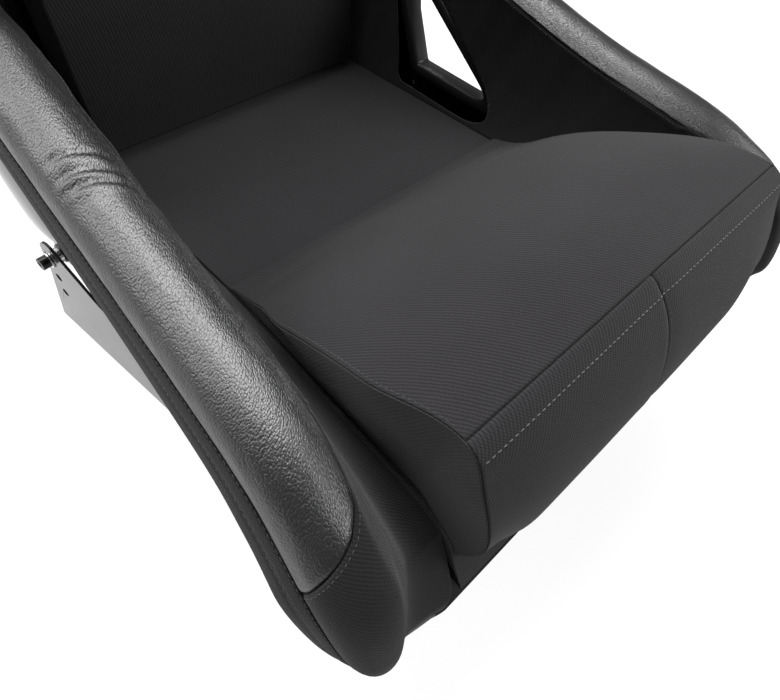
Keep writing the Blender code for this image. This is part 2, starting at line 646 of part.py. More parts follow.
def build_bracket(side_name, side, material, frame):
    """Side-mount bracket: an upright plate, drilled for height, with a slotted floor flange."""
    floor = -(CREASE_Z + BOLT_UP - 0.0012) / math.cos(BRACKET_LEAN)
    outline = [(f, -side * u) for f, u in bracket_outline(floor)]
    name = side_name + "_side_mount_bracket"
    plate = prism(name, outline, -PLATE_THICKNESS, 0.0, material, frame)
    origin = frame.matrix_world.translation
    spread_out = math.tan(BRACKET_LEAN) * (CREASE_Z + BOLT_UP)
    toe = Matrix.Rotation(-side * BRACKET_TOE, 4, "Z")
    flange_frame = make_empty(name + "_flange_frame", Matrix.Translation((origin.x + side * spread_out,
                                                                          origin.y, 0.0)) @ toe)
    inner, outer = -side * 0.0400, -side * 0.0002
    flange = prism(name + "_flange_shape", [(inner, 0.0300), (outer, 0.0300), (outer, -0.2700),
                                            (inner, -0.2700)], 0.0, PLATE_THICKNESS, None, flange_frame)
    boolean(plate, flange, "UNION")
    near_plate, near_edge = -side * SLOT_FROM_PLATE[0], -side * SLOT_FROM_PLATE[1]
    for k, along in enumerate(SLOT_PLACES):
        slot = rounded_outline([(near_plate, along + SLOT_HALF_LENGTH, 0.0045),
                                (near_edge, along + SLOT_HALF_LENGTH, 0.0045),
                                (near_edge, along - SLOT_HALF_LENGTH, 0.0045),
                                (near_plate, along - SLOT_HALF_LENGTH, 0.0045)])
        cutter = prism("%s_slot_%d" % (name, k), slot, -0.01, 0.02, None, flange_frame)
        boolean(plate, cutter, "DIFFERENCE")
    for column, (forward, up) in enumerate(((0.0, 0.0), FRONT_BOLT)):
        for row in range(3):
            drop = (0.0 if row == 0 else 0.003, -row * HOLE_PITCH)
            hole = circle(HOLE_RADIUS, 16, (forward + drop[0], -side * (up + drop[1])))
            cutter = prism("%s_hole_%d_%d" % (name, column, row), hole, -0.02, 0.02, None, frame)
            boolean(plate, cutter, "DIFFERENCE")
    return plate


def build_bolt(name, material, parent):
    """M8 socket-head cap screw along local Z, with a hexagon socket."""
    head = prism(name, circle(0.0065, 24), 0.0022, 0.0102, material, parent)
    shank = prism(name + "_shank_shape", circle(0.0040, 16), -0.0370, 0.0040, None, parent)
    socket = prism(name + "_socket_shape", circle(0.0034, 6), 0.0062, 0.0150, None, parent)
    boolean(head, shank, "UNION")
    boolean(head, socket, "DIFFERENCE")
    return head


def build_fasteners(mount, materials):
    """Bolt, washer, spacer sleeve, collar and threaded insert on one bolt axis."""
    empty = mount.empty
    face = mount.boss_high
    build_bolt("bolt_" + mount.name, materials["black_steel"], empty)
    ring_solid("washer_" + mount.name, 0.0088, BORE_RADIUS, 0.0003, 0.0019, materials["zinc"], empty)
    ring_solid("spacer_sleeve_" + mount.name, 0.0080, BORE_RADIUS, -0.0115, -PLATE_THICKNESS - 0.0003,
               materials["zinc"], empty)
    ring_solid("spacer_collar_" + mount.name, 0.0100, BORE_RADIUS, face + 0.0003, -0.0118,
               materials["black_plastic"], empty)
    ring_solid("threaded_insert_" + mount.name, INSERT_RADIUS, BORE_RADIUS, face - 0.0180, face - 0.0003,
               materials["zinc"], empty)


# ---------------------------------------------------------------- assembly
def build_materials():
    return {
        "shell": make_material("gloss_gelcoat", (0.012, 0.012, 0.013), 0.12),
        "knit": make_material("black_knit", (0.030, 0.028, 0.031), 0.90),
        "leather": make_material("grained_leather", (0.022, 0.023, 0.024), 0.42),
        "frame_plastic": make_material("satin_plastic", (0.018, 0.019, 0.021), 0.38),
        "powder_coat": make_material("powder_coat", (0.015, 0.015, 0.016), 0.22),
        "black_steel": make_material("black_steel", (0.030, 0.029, 0.028), 0.35, 0.9),
        "zinc": make_material("zinc_plate", (0.72, 0.73, 0.74), 0.25, 1.0),
        "black_plastic": make_material("spacer_plastic", (0.020, 0.020, 0.020), 0.45),
    }


def main():
    clear_scene()
    materials = build_materials()
    seat = make_empty("seat_frame", Matrix.Translation((0.0, CREASE_Y, CREASE_Z))
                      @ Matrix.Rotation(-SEAT_PITCH, 4, "X"))
    mounts = []
    for side_name, side in SIDES:
        frame = make_empty(side_name + "_bracket_frame", bracket_matrix(side))
        build_bracket(side_name, side, materials["powder_coat"], frame)
        bolts = (("rear", (0.0, 0.0), REAR_BOSS), ("front", FRONT_BOLT, FRONT_BOSS))
        for label, (forward, up), boss in bolts:
            axis = make_empty("%s_%s_bolt_axis" % (label, side_name), frame.matrix_world
                              @ Matrix.Translation((forward, -side * up, 0.0)))
            mounts.append(Mount("%s_%s" % (label, side_name), axis, *boss))
    build_shell(materials["shell"], seat, mounts)
    for mount in mounts:
        build_fasteners(mount, materials)

    for side_name, side in SIDES:
        lap_frame("lap_belt_frame_" + side_name, side, materials["frame_plastic"], seat)
        shoulder_frame("shoulder_belt_frame_" + side_name, side, materials["frame_plastic"], seat)
        thigh = build_bolster("thigh_bolster_" + side_name, side, THIGH_BOLSTER, thigh_roll_offset,
                              thigh_roll_radius, 0.0024, materials["leather"], seat)
        clearance = window_prism("lap_liner_cut_" + side_name, grow(LAP_WINDOW, FRAME_BORDER + GAP),
                                 0.16, LAP_FACE_X + FRAME_FLANGE + GAP, side, seat)
        through = window_prism("lap_foam_cut_" + side_name, grow(LAP_WINDOW, FRAME_WALL + GAP),
                               0.16, 0.24, side, seat)
        boolean(thigh, clearance, "DIFFERENCE")
        boolean(thigh, through, "DIFFERENCE")
        for mount in mounts:
            if mount.name.endswith(side_name):
                pocket = prism("%s_pocket_shape" % mount.name, circle(BOSS_RADIUS + 0.0016, 24),
                               mount.boss_low - 0.001, mount.boss_high + 0.012, None, mount.empty)
                boolean(thigh, pocket, "DIFFERENCE")
        build_bolster("torso_bolster_" + side_name, side, TORSO_BOLSTER, torso_roll_offset,
                      torso_roll_radius, 0.0018, materials["knit"], seat)
        build_bolster("head_bolster_" + side_name, side, HEAD_BOLSTER, head_roll_offset,
                      head_roll_radius, 0.0022, materials["knit"], seat)

    build_base_pad(materials["knit"], seat)
    build_thigh_cushion(materials["knit"], seat)
    back_slab("lumbar_cushion", LUMBAR_LEVELS, materials["knit"], seat)
    back_slab("backrest_pad", BACKREST_LEVELS, materials["knit"], seat)
    back_slab("headrest_pad", HEADREST_LEVELS, materials["knit"], seat)


main()
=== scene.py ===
"""Looks of the fixed-back racing seat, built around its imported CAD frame.

Soft pieces are drawn in seat coordinates (x, s, z): s runs forward from the crease between the
seat pad and the lumbar cushion, z is square to the pad. to_row() carries them into the row.
"""
import math
from itertools import product

import bmesh
import bpy
import numpy as np
from mathutils import Matrix, Vector
from mathutils.bvhtree import BVHTree


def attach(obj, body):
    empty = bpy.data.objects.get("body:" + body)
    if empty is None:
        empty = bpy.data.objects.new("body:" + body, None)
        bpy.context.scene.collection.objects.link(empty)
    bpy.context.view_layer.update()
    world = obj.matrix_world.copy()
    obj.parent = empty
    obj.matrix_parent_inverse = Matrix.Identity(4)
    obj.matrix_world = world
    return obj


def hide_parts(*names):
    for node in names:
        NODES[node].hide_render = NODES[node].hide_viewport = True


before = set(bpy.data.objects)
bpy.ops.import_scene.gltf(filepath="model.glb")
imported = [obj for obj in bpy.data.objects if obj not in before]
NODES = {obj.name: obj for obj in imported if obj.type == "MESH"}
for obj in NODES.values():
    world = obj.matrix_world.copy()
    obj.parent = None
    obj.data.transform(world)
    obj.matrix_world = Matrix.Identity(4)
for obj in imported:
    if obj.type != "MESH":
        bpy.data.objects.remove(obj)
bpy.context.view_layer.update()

SIDES = (("left", -1.0), ("right", 1.0))

# ---------------------------------------------------------------- dimensions shared with the CAD
SEAT_PITCH = math.radians(7.0)
CREASE_Y, CREASE_Z = 0.1169, 0.1680
SHELL_THICKNESS = 0.004
PAD_SLOPE = 0.040
BACK_RECLINE = math.radians(10.0)
BACK_FOOT = (-0.0620, 0.030)        # s, z where the back's straight part begins
ROLL_RADIUS = 0.0290
HEM_THICKNESS = 0.0028
# s, z, foot, waist, rim_x, rim_s, rim_z, rim_r, skirt, flare
STATIONS = np.array([
    (0.5210, -0.0490, 0.205, 0.240, 0.2640, 0.5120, -0.0300, 0.0090, 0.010, 0.001),
    (0.5050, -0.0365, 0.203, 0.234, 0.2655, 0.4980, -0.0060, 0.0135, 0.020, 0.005),
    (0.4780, -0.0320, 0.200, 0.226, 0.2620, 0.4720, 0.0400, 0.0180, 0.024, 0.008),
    (0.4300, -0.0370, 0.197, 0.219, 0.2545, 0.4260, 0.0640, 0.0190, 0.024, 0.008),
    (0.3760, -0.0430, 0.194, 0.214, 0.2490, 0.3760, 0.0770, 0.0195, 0.024, 0.007),
    (0.2820, -0.0570, 0.192, 0.211, 0.2430, 0.2820, 0.0905, 0.0195, 0.024, 0.006),
    (0.1880, -0.0660, 0.193, 0.211, 0.2390, 0.1880, 0.1105, 0.0195, 0.024, 0.004),
    (0.1100, -0.0700, 0.195, 0.212, 0.2360, 0.1100, 0.1330, 0.0195, 0.024, 0.003),
    (0.0600, -0.0705, 0.203, 0.216, 0.2370, 0.0600, 0.1500, 0.0170, 0.022, 0.002),
    (0.0200, -0.0700, 0.222, 0.240, 0.2440, 0.0220, 0.1620, 0.0090, 0.012, 0.001),
    (-0.0200, -0.0620, 0.230, 0.2515, 0.2490, -0.0120, 0.1710, 0.0070, 0.008, 0.001),
    (-0.0480, -0.0340, 0.228, 0.2500, 0.2500, -0.0280, 0.1810, 0.0075, 0.008, 0.001),
    (-0.0610, 0.0200, 0.218, 0.2440, 0.2500, -0.0390, 0.1970, 0.0080, 0.008, 0.001),
    (-0.0760, 0.1050, 0.206, 0.2360, 0.2490, -0.0450, 0.2220, 0.0085, 0.009, 0.001),
    (-0.0930, 0.2050, 0.194, 0.2280, 0.2490, -0.0440, 0.2640, 0.0090, 0.010, 0.001),
    (-0.1100, 0.3000, 0.187, 0.2240, 0.2500, -0.0240, 0.3220, 0.0090, 0.012, 0.001),
    (-0.1260, 0.3900, 0.188, 0.2280, 0.2540, 0.0020, 0.3860, 0.0090, 0.014, 0.001),
    (-0.1390, 0.4650, 0.186, 0.2310, 0.2560, -0.0060, 0.4540, 0.0090, 0.014, 0.001),
    (-0.1480, 0.5150, 0.174, 0.2160, 0.2420, -0.0480, 0.5160, 0.0085, 0.010, 0.001),
    (-0.1550, 0.5550, 0.158, 0.1840, 0.2080, -0.0850, 0.5600, 0.0085, 0.008, 0.001),
    (-0.1620, 0.5950, 0.136, 0.1560, 0.1740, -0.1030, 0.6020, 0.0085, 0.008, 0.001),
    (-0.1700, 0.6400, 0.114, 0.1380, 0.1550, -0.1080, 0.6440, 0.0080, 0.008, 0.001),
    (-0.1790, 0.6950, 0.100, 0.1270, 0.1450, -0.1200, 0.6960, 0.0080, 0.008, 0.001),
    (-0.1870, 0.7450, 0.086, 0.1120, 0.1310, -0.1460, 0.7450, 0.0080, 0.006, 0.001),
    (-0.1930, 0.7750, 0.070, 0.0930, 0.1100, -0.1700, 0.7740, 0.0080, 0.005, 0.001)])
LAST_STATION = len(STATIONS) - 1.0
LAP_WINDOW = [(0.076, 0.022, 0.004), (0.196, 0.022, 0.011), (0.030, 0.136, 0.006)]
SHOULDER_SLOT = [(0.036, 0.540, 0.008), (0.114, 0.548, 0.008), (0.110, 0.584, 0.008),
                 (0.034, 0.580, 0.008)]
FRAME_BORDER, FRAME_WALL, FRAME_FLANGE = 0.013, 0.0025, 0.003
FIT = 0.0005            # gap around what passes through an opening
LAP_FACE_X, LAP_BACK_X = 0.2010, 0.2215
BOLT_X, BOLT_FORWARD, BOLT_UP = 0.2613, 0.0348, -0.0464
BRACKET_TOE, BRACKET_LEAN = math.radians(7.4), math.radians(2.9)
FRONT_BOLT = (0.235, 0.044)
BOSS_RADIUS, INSERT_RADIUS = 0.0160, 0.0070
BOSSES = (((0.0, 0.0), (-0.0440, -0.0155)), (FRONT_BOLT, (-0.0420, -0.0131)))


def to_row(points):
    """Seat coordinates (x, s, z) carried into the row's frame."""
    points = np.asarray(points, float)
    s, z = points[..., 1], points[..., 2]
    cos, sin = math.cos(SEAT_PITCH), math.sin(SEAT_PITCH)
    return np.stack([points[..., 0], CREASE_Y - s * cos + z * sin, CREASE_Z + s * sin + z * cos], -1)


def ease(value, low, high):
    """0 below low, 1 above high and smooth between."""
    t = np.clip((np.asarray(value, float) - low) / (high - low), 0.0, 1.0)
    return t * t * (3 - 2 * t)


def arc_lengths(points):
    """Length along a line of points, up to each of them."""
    return np.concatenate([[0.0], np.cumsum(np.linalg.norm(np.diff(points, axis=0), axis=1))])


def at_lengths(lengths, arc, points):
    """Points of a line at given lengths along it."""
    return np.stack([np.interp(lengths, arc, points[:, i]) for i in range(3)], 1)


def spaced(count, crowd=0.4):
    """Numbers from 0 to 1, closer together near both ends."""
    t = np.linspace(0.0, 1.0, count)
    return (1 - crowd) * t + crowd * 0.5 * (1 - np.cos(math.pi * t))


# ---------------------------------------------------------------- sections of the seat
def hermite(t, start, leave, end, arrive):
    """Cubic from start to end with the given tangents."""
    return ((2 * t**3 - 3 * t**2 + 1) * start + (t**3 - 2 * t**2 + t) * leave
            + (3 * t**2 - 2 * t**3) * end + (t**3 - t**2) * arrive)


def station_at(places):
    """Stations at fractional places, on a smooth curve."""
    places = np.clip(np.atleast_1d(places), 0.0, LAST_STATION)
    low = np.minimum(np.floor(places).astype(int), int(LAST_STATION) - 1)
    t = (places - low)[:, None]
    before, start, end, after = [STATIONS[np.clip(low + k, 0, int(LAST_STATION))] for k in (-1, 0, 1, 2)]
    return hermite(t, start, 0.5 * (end - before), end, 0.5 * (after - start))


PLACES = np.linspace(0.0, LAST_STATION, 1201)
TABLE = station_at(PLACES)
MID_S, MID_Z, FOOT, WAIST, RIM_X, RIM_S, RIM_Z, RIM_R, SKIRT, FLARE = TABLE.T
UP = np.stack([RIM_S - MID_S, RIM_Z - MID_Z], 1)
HEIGHT = np.linalg.norm(UP, axis=1)
UP = UP / HEIGHT[:, None]
PATH = (station_at(PLACES + 0.4) - station_at(PLACES - 0.4))[:, 5:7]
PATH = PATH / np.linalg.norm(PATH, axis=1)[:, None]
OUT = np.stack([PATH[:, 1], -PATH[:, 0]], 1)
RIM_ARC, MID_ARC = arc_lengths(TABLE[:, 4:7]), arc_lengths(TABLE[:, 0:2])


def columns(*rows):
    """Points (x, rise, over) of one column, one per place."""
    return np.stack([np.broadcast_to(np.asarray(r, float), PLACES.shape) for r in rows], 1)


def on_sections(points):
    """(places, columns, 3) points drawn on the sections, in seat coordinates."""
    x, rise, over = points[..., 0], points[..., 1], points[..., 2]
    s = MID_S[:, None] + UP[:, :1] * rise + OUT[:, :1] * over
    z = MID_Z[:, None] + UP[:, 1:] * rise + OUT[:, 1:] * over
    return np.stack([x, s, z], -1)


def bezier(a, b, c, t):
    t = np.asarray(t)[None, :, None]
    return (1 - t)**2 * a[:, None] + 2 * t * (1 - t) * b[:, None] + t**2 * c[:, None]


def side_profile(lift=0.0, low=8, high=14, rim=14):
    """Half sections from the pan's corner over the rim to the end of the skirt."""
    corner = np.minimum(0.026, 0.30 * HEIGHT)
    radius = RIM_R + lift
    spread_low = 0.30 * (WAIST - FOOT) + 0.5 * corner
    foot = columns(FOOT - 0.3 * lift, lift, 0.0)
    knee = columns(FOOT + 0.62 * corner - lift, lift, 0.0)
    wall_low = columns(FOOT + spread_low - lift, corner + lift, 0.0)
    wall_top = columns(RIM_X - radius, HEIGHT, 0.0)
    waist = columns(WAIST - lift, corner + 0.52 * (HEIGHT - corner), 0.0)
    control = 2 * waist - 0.5 * (wall_low + wall_top)
    parts = [bezier(foot, knee, wall_low, np.linspace(0, 1, low + 1)),
             bezier(wall_low, control, wall_top, np.linspace(0, 1, high + 1)[1:])]
    angles = math.pi * (1 - np.arange(1, rim + 1) / rim)
    arc = [columns(RIM_X + radius * math.cos(a), HEIGHT, radius * math.sin(a)) for a in angles]
    skirt = [columns(RIM_X + radius + FLARE * t, HEIGHT, -SKIRT * t) for t in (0.25, 0.5, 0.75, 1.0)]
    return np.concatenate(parts + [np.stack(arc + skirt, 1)], axis=1)


def pad_height():
    front = np.maximum(PAD_SLOPE * MID_S - MID_Z - 0.026 * np.maximum(0.0, MID_S - 0.470) / 0.05, 0.014)
    return np.where(MID_S > 0.0, front, np.maximum(0.050, -MID_Z))


def pad_edge():
    t = np.clip((MID_S - 0.228) / (0.470 - 0.228), 0.0, 1.0)
    return np.where(MID_S > 0.0, 0.172 + 0.014 * t, np.minimum(0.172, FOOT - 0.016))


def at_places(table, places):
    """Rows of a (places, columns, 3) table at other places: one list, or one per column."""
    places = np.asarray(places, float)
    if places.ndim == 1:
        places = np.repeat(places[:, None], table.shape[1], axis=1)
    result = np.empty(places.shape + (3,))
    for column in range(table.shape[1]):
        for axis in range(3):
            result[:, column, axis] = np.interp(places[:, column], PLACES, table[:, column, axis])
    return result


def along(first, last, count, arc=RIM_ARC, crowd=0.0):
    """Places from first to last, evenly spaced along an arc."""
    start, end = np.interp([first, last], PLACES, arc)
    return np.interp(start + (end - start) * spaced(count, crowd), arc, PLACES)


# ---------------------------------------------------------------- mesh helpers
def link(obj):
    bpy.context.scene.collection.objects.link(obj)
    return obj


def mesh_object(name, verts, faces, material, uvs=None, smooth=180.0):
    mesh = bpy.data.meshes.new(name)
    mesh.from_pydata(np.asarray(verts, float).tolist(), [], [list(map(int, f)) for f in faces])
    if uvs is not None:
        layer = mesh.uv_layers.new(name="UVMap")
        layer.data.foreach_set("uv", np.asarray(uvs, np.float32).ravel())
    mesh.shade_smooth()
    if smooth < 180.0:
        mesh.set_sharp_from_angle(angle=math.radians(smooth))
    if material is not None:
        mesh.materials.append(material)
    return link(bpy.data.objects.new(name, mesh))


def baked(obj):
    """The object with its modifiers applied."""
    view = bpy.context.evaluated_depsgraph_get()
    mesh = bpy.data.meshes.new_from_object(obj.evaluated_get(view))
    obj.modifiers.clear()
    obj.data = mesh
    return obj


def drop(*objects):
    for obj in objects:
        bpy.data.objects.remove(obj, do_unlink=True)


def unit(vectors):
    return vectors / np.maximum(np.linalg.norm(vectors, axis=-1, keepdims=True), 1e-12)


def grid_normals(grid, facing):
    normals = unit(np.cross(np.gradient(grid, axis=0), np.gradient(grid, axis=1)))
    return normals if (normals @ np.asarray(facing, float)).sum() > 0 else -normals


def arc_along(grid, axis):
    steps = np.linalg.norm(np.diff(grid, axis=axis), axis=-1)
    start = np.zeros_like(np.take(steps, [0], axis=axis))
    return np.concatenate([start, np.cumsum(steps, axis=axis)], axis=axis)


def from_line(grid, line):
    """Distance of every grid point from a line of points."""
    steps = np.linspace(0, len(line) - 1, 4 * len(line))
    fine = at_lengths(steps, np.arange(len(line)), line)
    return np.stack([np.linalg.norm(row[:, None] - fine[None], axis=-1).min(axis=1) for row in grid])


def rolled(distance, width, depth):
    """Depth of a rounded edge at a distance from it."""
    t = np.clip(1 - distance / width, 0.0, 1.0)
    return depth * (1 - np.sqrt(1 - t * t))


class Panel:
    """A sewn panel: a grid of points with rounded edges that dip into its seams.
    Its edges are first row, last row, first column and last column, each (width, depth) or None."""

    def __init__(self, grid, facing, edges=(None,) * 4, swell=0.0):
        self.normals = grid_normals(grid, facing)
        self.along_u, self.along_v = arc_along(grid, 0), arc_along(grid, 1)
        self.from_edge = (from_line(grid, grid[0]), from_line(grid, grid[-1]), self.along_v,
                          self.along_v[:, -1:] - self.along_v)
        depth = np.zeros(grid.shape[:2])
        for distance, edge in zip(self.from_edge, edges):
            if edge is not None:
                depth = np.maximum(depth, rolled(distance, *edge))
        self.grid = grid + self.normals * (swell - depth)[..., None]
        self.normals = grid_normals(self.grid, facing)

    def line(self, side, distance):
        """Points and normals that run parallel to an edge, at a distance from it."""
        away, grid, normals = self.from_edge[side], self.grid, self.normals
        if side < 2:
            away, grid, normals = [np.swapaxes(a, 0, 1) for a in (away, grid, normals)]
        found = []
        for d, *tables in zip(away, grid, normals):
            order = np.argsort(d)
            found.append([at_lengths([distance], d[order], table[order])[0] for table in tables])
        points, normals = np.swapaxes(found, 0, 1)
        return points, unit(normals)

    def build(self, name, material, thickness=0.0016, mirror=1.0):
        rows, cols = self.grid.shape[:2]
        index = np.arange(rows * cols).reshape(rows, cols)
        quads = np.stack([index[:-1, :-1], index[1:, :-1], index[1:, 1:], index[:-1, 1:]], -1).reshape(-1, 4)
        flip = np.array([mirror, 1.0, 1.0])
        points = to_row(self.grid * flip).reshape(-1, 3)
        middle = rows // 2 * cols + cols // 2
        normal = np.cross(points[middle + cols] - points[middle], points[middle + 1] - points[middle])
        wanted = to_row(self.normals[rows // 2, cols // 2] * flip) - to_row(np.zeros(3))
        if normal @ wanted < 0:
            quads = quads[:, ::-1]
        uv = np.stack([self.along_u + 0 * self.along_v, self.along_v - self.along_v.mean(1, keepdims=True)], -1)
        obj = mesh_object(name, points, quads, material, uv.reshape(-1, 2)[quads.ravel()])
        if thickness:
            wall = obj.modifiers.new("wall", "SOLIDIFY")
            wall.thickness = thickness
            wall.offset = -1.0
            baked(obj)
        return obj


def stitch_row(points, normals, pitch, length, radius):
    """Frames of the stitches along a line: centres, tangents and normals."""
    arc = arc_lengths(points)
    count = max(int(arc[-1] / pitch), 1)
    centres = (np.arange(count) + 0.5) * arc[-1] / count
    ahead, behind = [at_lengths(centres + part * length, arc, points) for part in (0.4, -0.4)]
    normal = unit(at_lengths(centres, arc, normals))
    return at_lengths(centres, arc, points), unit(ahead - behind), normal, length, radius


def stitches(name, rows, material, mirror=1.0):
    """One mesh of thread: each stitch is a short bead whose ends dive into the cloth."""
    ring = 6
    profile = ((-0.5, 0.25, -1.6), (-0.42, 0.8, -0.5), (-0.2, 1.0, 0.15), (0.2, 1.0, 0.15),
               (0.42, 0.8, -0.5), (0.5, 0.25, -1.6))
    verts, faces = [], []
    quads = ring_mesh([[(0.0, 0.0, 0.0)] * ring] * len(profile))[1]
    for centres, tangents, normals, length, radius in rows:
        across = unit(np.cross(normals, tangents))
        local = []
        for x, wide, lift in profile:
            for k in range(ring):
                angle = 2 * math.pi * k / ring
                local.append((x * length, radius * wide * math.cos(angle),
                              radius * (wide * math.sin(angle) + lift)))
        for p, t, n, b in zip(centres, tangents, normals, across):
            first = len(verts)
            verts += [p + t * x + b * y + n * z for x, y, z in local]
            faces += [tuple(first + i for i in quad) for quad in quads]
    return mesh_object(name, to_row(np.array(verts) * np.array([mirror, 1.0, 1.0])), faces, material)


def from_row(points):
    """The row's points in seat coordinates."""
    points = np.asarray(points, float)
    y, z = points[..., 1] - CREASE_Y, points[..., 2] - CREASE_Z
    cos, sin = math.cos(SEAT_PITCH), math.sin(SEAT_PITCH)
    return np.stack([points[..., 0], -y * cos + z * sin, y * sin + z * cos], -1)


def cloth_stitches(obj, line, pitch, length, radius):
    """A stitch row laid on a finished cover, along a line near its surface."""
    tree = BVHTree.FromPolygons([v.co for v in obj.data.vertices], [p.vertices for p in obj.data.polygons])
    hits = [tree.find_nearest(Vector(p)) for p in to_row(line)]
    points = from_row(np.array([hit[0] for hit in hits]))
    normals = from_row(np.array([hit[0] + hit[1] for hit in hits])) - points
    return stitch_row(points, unit(normals), pitch, length, radius)


def belong(obj, body, slot_name, *nodes, fill=None):
    """Puts a piece on its body, in place of CAD nodes. slot_name and fill are not used."""
    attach(obj, body)
    if nodes:
        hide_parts(*nodes)


# ---------------------------------------------------------------- materials
RIB_PITCH = 0.0024      # twilled ribs of the knitted covers
PEBBLE, PORE = 0.0017, 0.0007       # grain of the leather


class Shader:
    """A node material being wired up."""

    def __init__(self, name, roughness, metallic=0.0, **sockets):
        self.material = bpy.data.materials.new(name)
        self.material.use_nodes = True
        self.tree = self.material.node_tree
        self.bsdf = self.tree.nodes["Principled BSDF"]
        self.bsdf.inputs["Roughness"].default_value = roughness
        self.bsdf.inputs["Metallic"].default_value = metallic
        for key, value in sockets.items():
            self.bsdf.inputs[key.replace("_", " ")].default_value = value

    def node(self, kind, **values):
        made = self.tree.nodes.new(kind)
        for key, value in values.items():
            if hasattr(made, key):
                setattr(made, key, value)
            else:
                made.inputs[key.replace("_", " ")].default_value = value
        return made

    def join(self, source, target):
        self.tree.links.new(source, target)

    def coords(self, space="UV", scale=(1.0, 1.0, 1.0), turn=0.0):
        source = self.node("ShaderNodeTexCoord").outputs[space]
        mapping = self.node("ShaderNodeMapping")
        mapping.inputs["Scale"].default_value = scale
        mapping.inputs["Rotation"].default_value = (0.0, 0.0, turn)
        self.join(source, mapping.inputs["Vector"])
        return mapping.outputs["Vector"]

    def noise(self, vector, scale, detail=4.0, rough=0.55):
        made = self.node("ShaderNodeTexNoise", Scale=scale, Detail=detail, Roughness=rough)
        self.join(vector, made.inputs["Vector"])
        return made.outputs["Fac"]

    def bands(self, vector, pitch, direction, distortion):
        made = self.node("ShaderNodeTexWave", wave_type="BANDS", bands_direction=direction,
                         Scale=0.314159 / pitch, Distortion=distortion)
        self.join(vector, made.inputs["Vector"])
        return made.outputs["Fac"]

    def cells(self, vector, pitch):
        made = self.node("ShaderNodeTexVoronoi", Scale=1.0 / pitch, Randomness=0.85)
        self.join(vector, made.inputs["Vector"])
        return made.outputs["Distance"]

    def math(self, operation, a, b):
        made = self.node("ShaderNodeMath", operation=operation)
        for socket, value in zip(made.inputs, (a, b)):
            if isinstance(value, float):
                socket.default_value = value
            else:
                self.join(value, socket)
        return made.outputs[0]

    def ramp(self, factor, low, high, start=0.0, end=1.0):
        made = self.node("ShaderNodeMapRange")
        for name, value in (("From Min", start), ("From Max", end), ("To Min", low), ("To Max", high)):
            made.inputs[name].default_value = value
        self.join(factor, made.inputs["Value"])
        return made.outputs["Result"]

    def color(self, factor, dark, light):
        made = self.node("ShaderNodeMix", data_type="RGBA")
        made.inputs["A"].default_value = (*dark, 1.0)
        made.inputs["B"].default_value = (*light, 1.0)
        self.join(factor, made.inputs["Factor"])
        self.join(made.outputs["Result"], self.bsdf.inputs["Base Color"])

    def roughness(self, factor):
        self.join(factor, self.bsdf.inputs["Roughness"])

    def bump(self, height, distance, strength):
        made = self.node("ShaderNodeBump", Strength=strength, Distance=distance)
        self.join(height, made.inputs["Height"])
        self.join(made.outputs["Normal"], self.bsdf.inputs["Normal"])


def knit(name, dark, light):
    """Fine knitted cover: twilled ribs over small loops, a little fuzz and soft colour drift."""
    s = Shader(name, 0.95, Sheen_Weight=0.09, Sheen_Roughness=0.5, Specular_IOR_Level=0.10)
    flat = s.coords("UV", turn=0.6)
    ribs = s.bands(flat, RIB_PITCH, "X", 2.2)
    loops = s.bands(flat, 0.55 * RIB_PITCH, "Y", 0.8)
    fuzz = s.noise(s.coords("UV"), 1500.0, 3.0, 0.7)
    weave = s.math("ADD", s.math("MULTIPLY", ribs, 0.42), s.math("MULTIPLY", loops, 0.30))
    height = s.math("ADD", weave, s.math("MULTIPLY", fuzz, 0.75))
    drift = s.noise(s.coords("Object"), 9.0, 3.0)
    shade = s.math("ADD", s.math("MULTIPLY", height, 0.72), s.math("MULTIPLY", drift, 0.25))
    s.color(s.ramp(shade, 0.0, 1.0, 0.34, 0.98), dark, light)
    s.bump(height, 0.00028, 0.9)
    return s.material


def leather(name):
    """Pebble-grained leather with a satin finish and fine pores."""
    s = Shader(name, 0.35, Specular_IOR_Level=0.75)
    flat = s.coords("UV")
    # the cells are bent by a fine noise, so that no pebble has straight sides
    warp = s.node("ShaderNodeTexNoise", Scale=700.0, Detail=2.0)
    s.join(flat, warp.inputs["Vector"])
    bend = s.node("ShaderNodeVectorMath", operation="SCALE", Scale=0.0011)
    s.join(warp.outputs["Color"], bend.inputs[0])
    bent = s.node("ShaderNodeVectorMath", operation="ADD")
    s.join(flat, bent.inputs[0])
    s.join(bend.outputs[0], bent.inputs[1])
    flat = bent.outputs[0]
    grain = s.cells(flat, PEBBLE)
    pores = s.cells(flat, PORE)
    height = s.math("SUBTRACT", 1.0, s.math("MULTIPLY", grain, grain))
    height = s.math("ADD", height, s.math("MULTIPLY", pores, -0.22))
    drift = s.noise(s.coords("Object"), 14.0, 3.0)
    # the colour darkens from the pebbles' crowns into the hollows between them: painted shade in the grain's
    # hollows
    s.color(s.ramp(grain, 1.0, 0.0, 0.25, 0.85), (0.0028, 0.0029, 0.0031), (0.0080, 0.0083, 0.0085))
    s.roughness(s.ramp(s.math("ADD", s.math("MULTIPLY", grain, 0.5), drift), 0.31, 0.44, 0.3, 1.1))
    s.bump(height, 0.00036, 0.8)
    return s.material


def gloss_shell(name):
    """Polished gelcoat with a trace of dust and long soft waves."""
    s = Shader(name, 0.07, Coat_Weight=0.6, Coat_Roughness=0.03, Specular_IOR_Level=0.5)
    space = s.coords("Object")
    drift = s.noise(space, 7.0, 3.0)
    dust = s.noise(space, 420.0, 3.0, 0.7)
    s.color(drift, (0.0070, 0.0070, 0.0076), (0.0120, 0.0120, 0.0128))
    s.roughness(s.math("ADD", s.ramp(drift, 0.05, 0.11), s.ramp(dust, 0.0, 0.10, 0.62, 0.85)))
    s.bump(s.noise(space, 60.0, 1.0), 0.00025, 0.10)
    return s.material


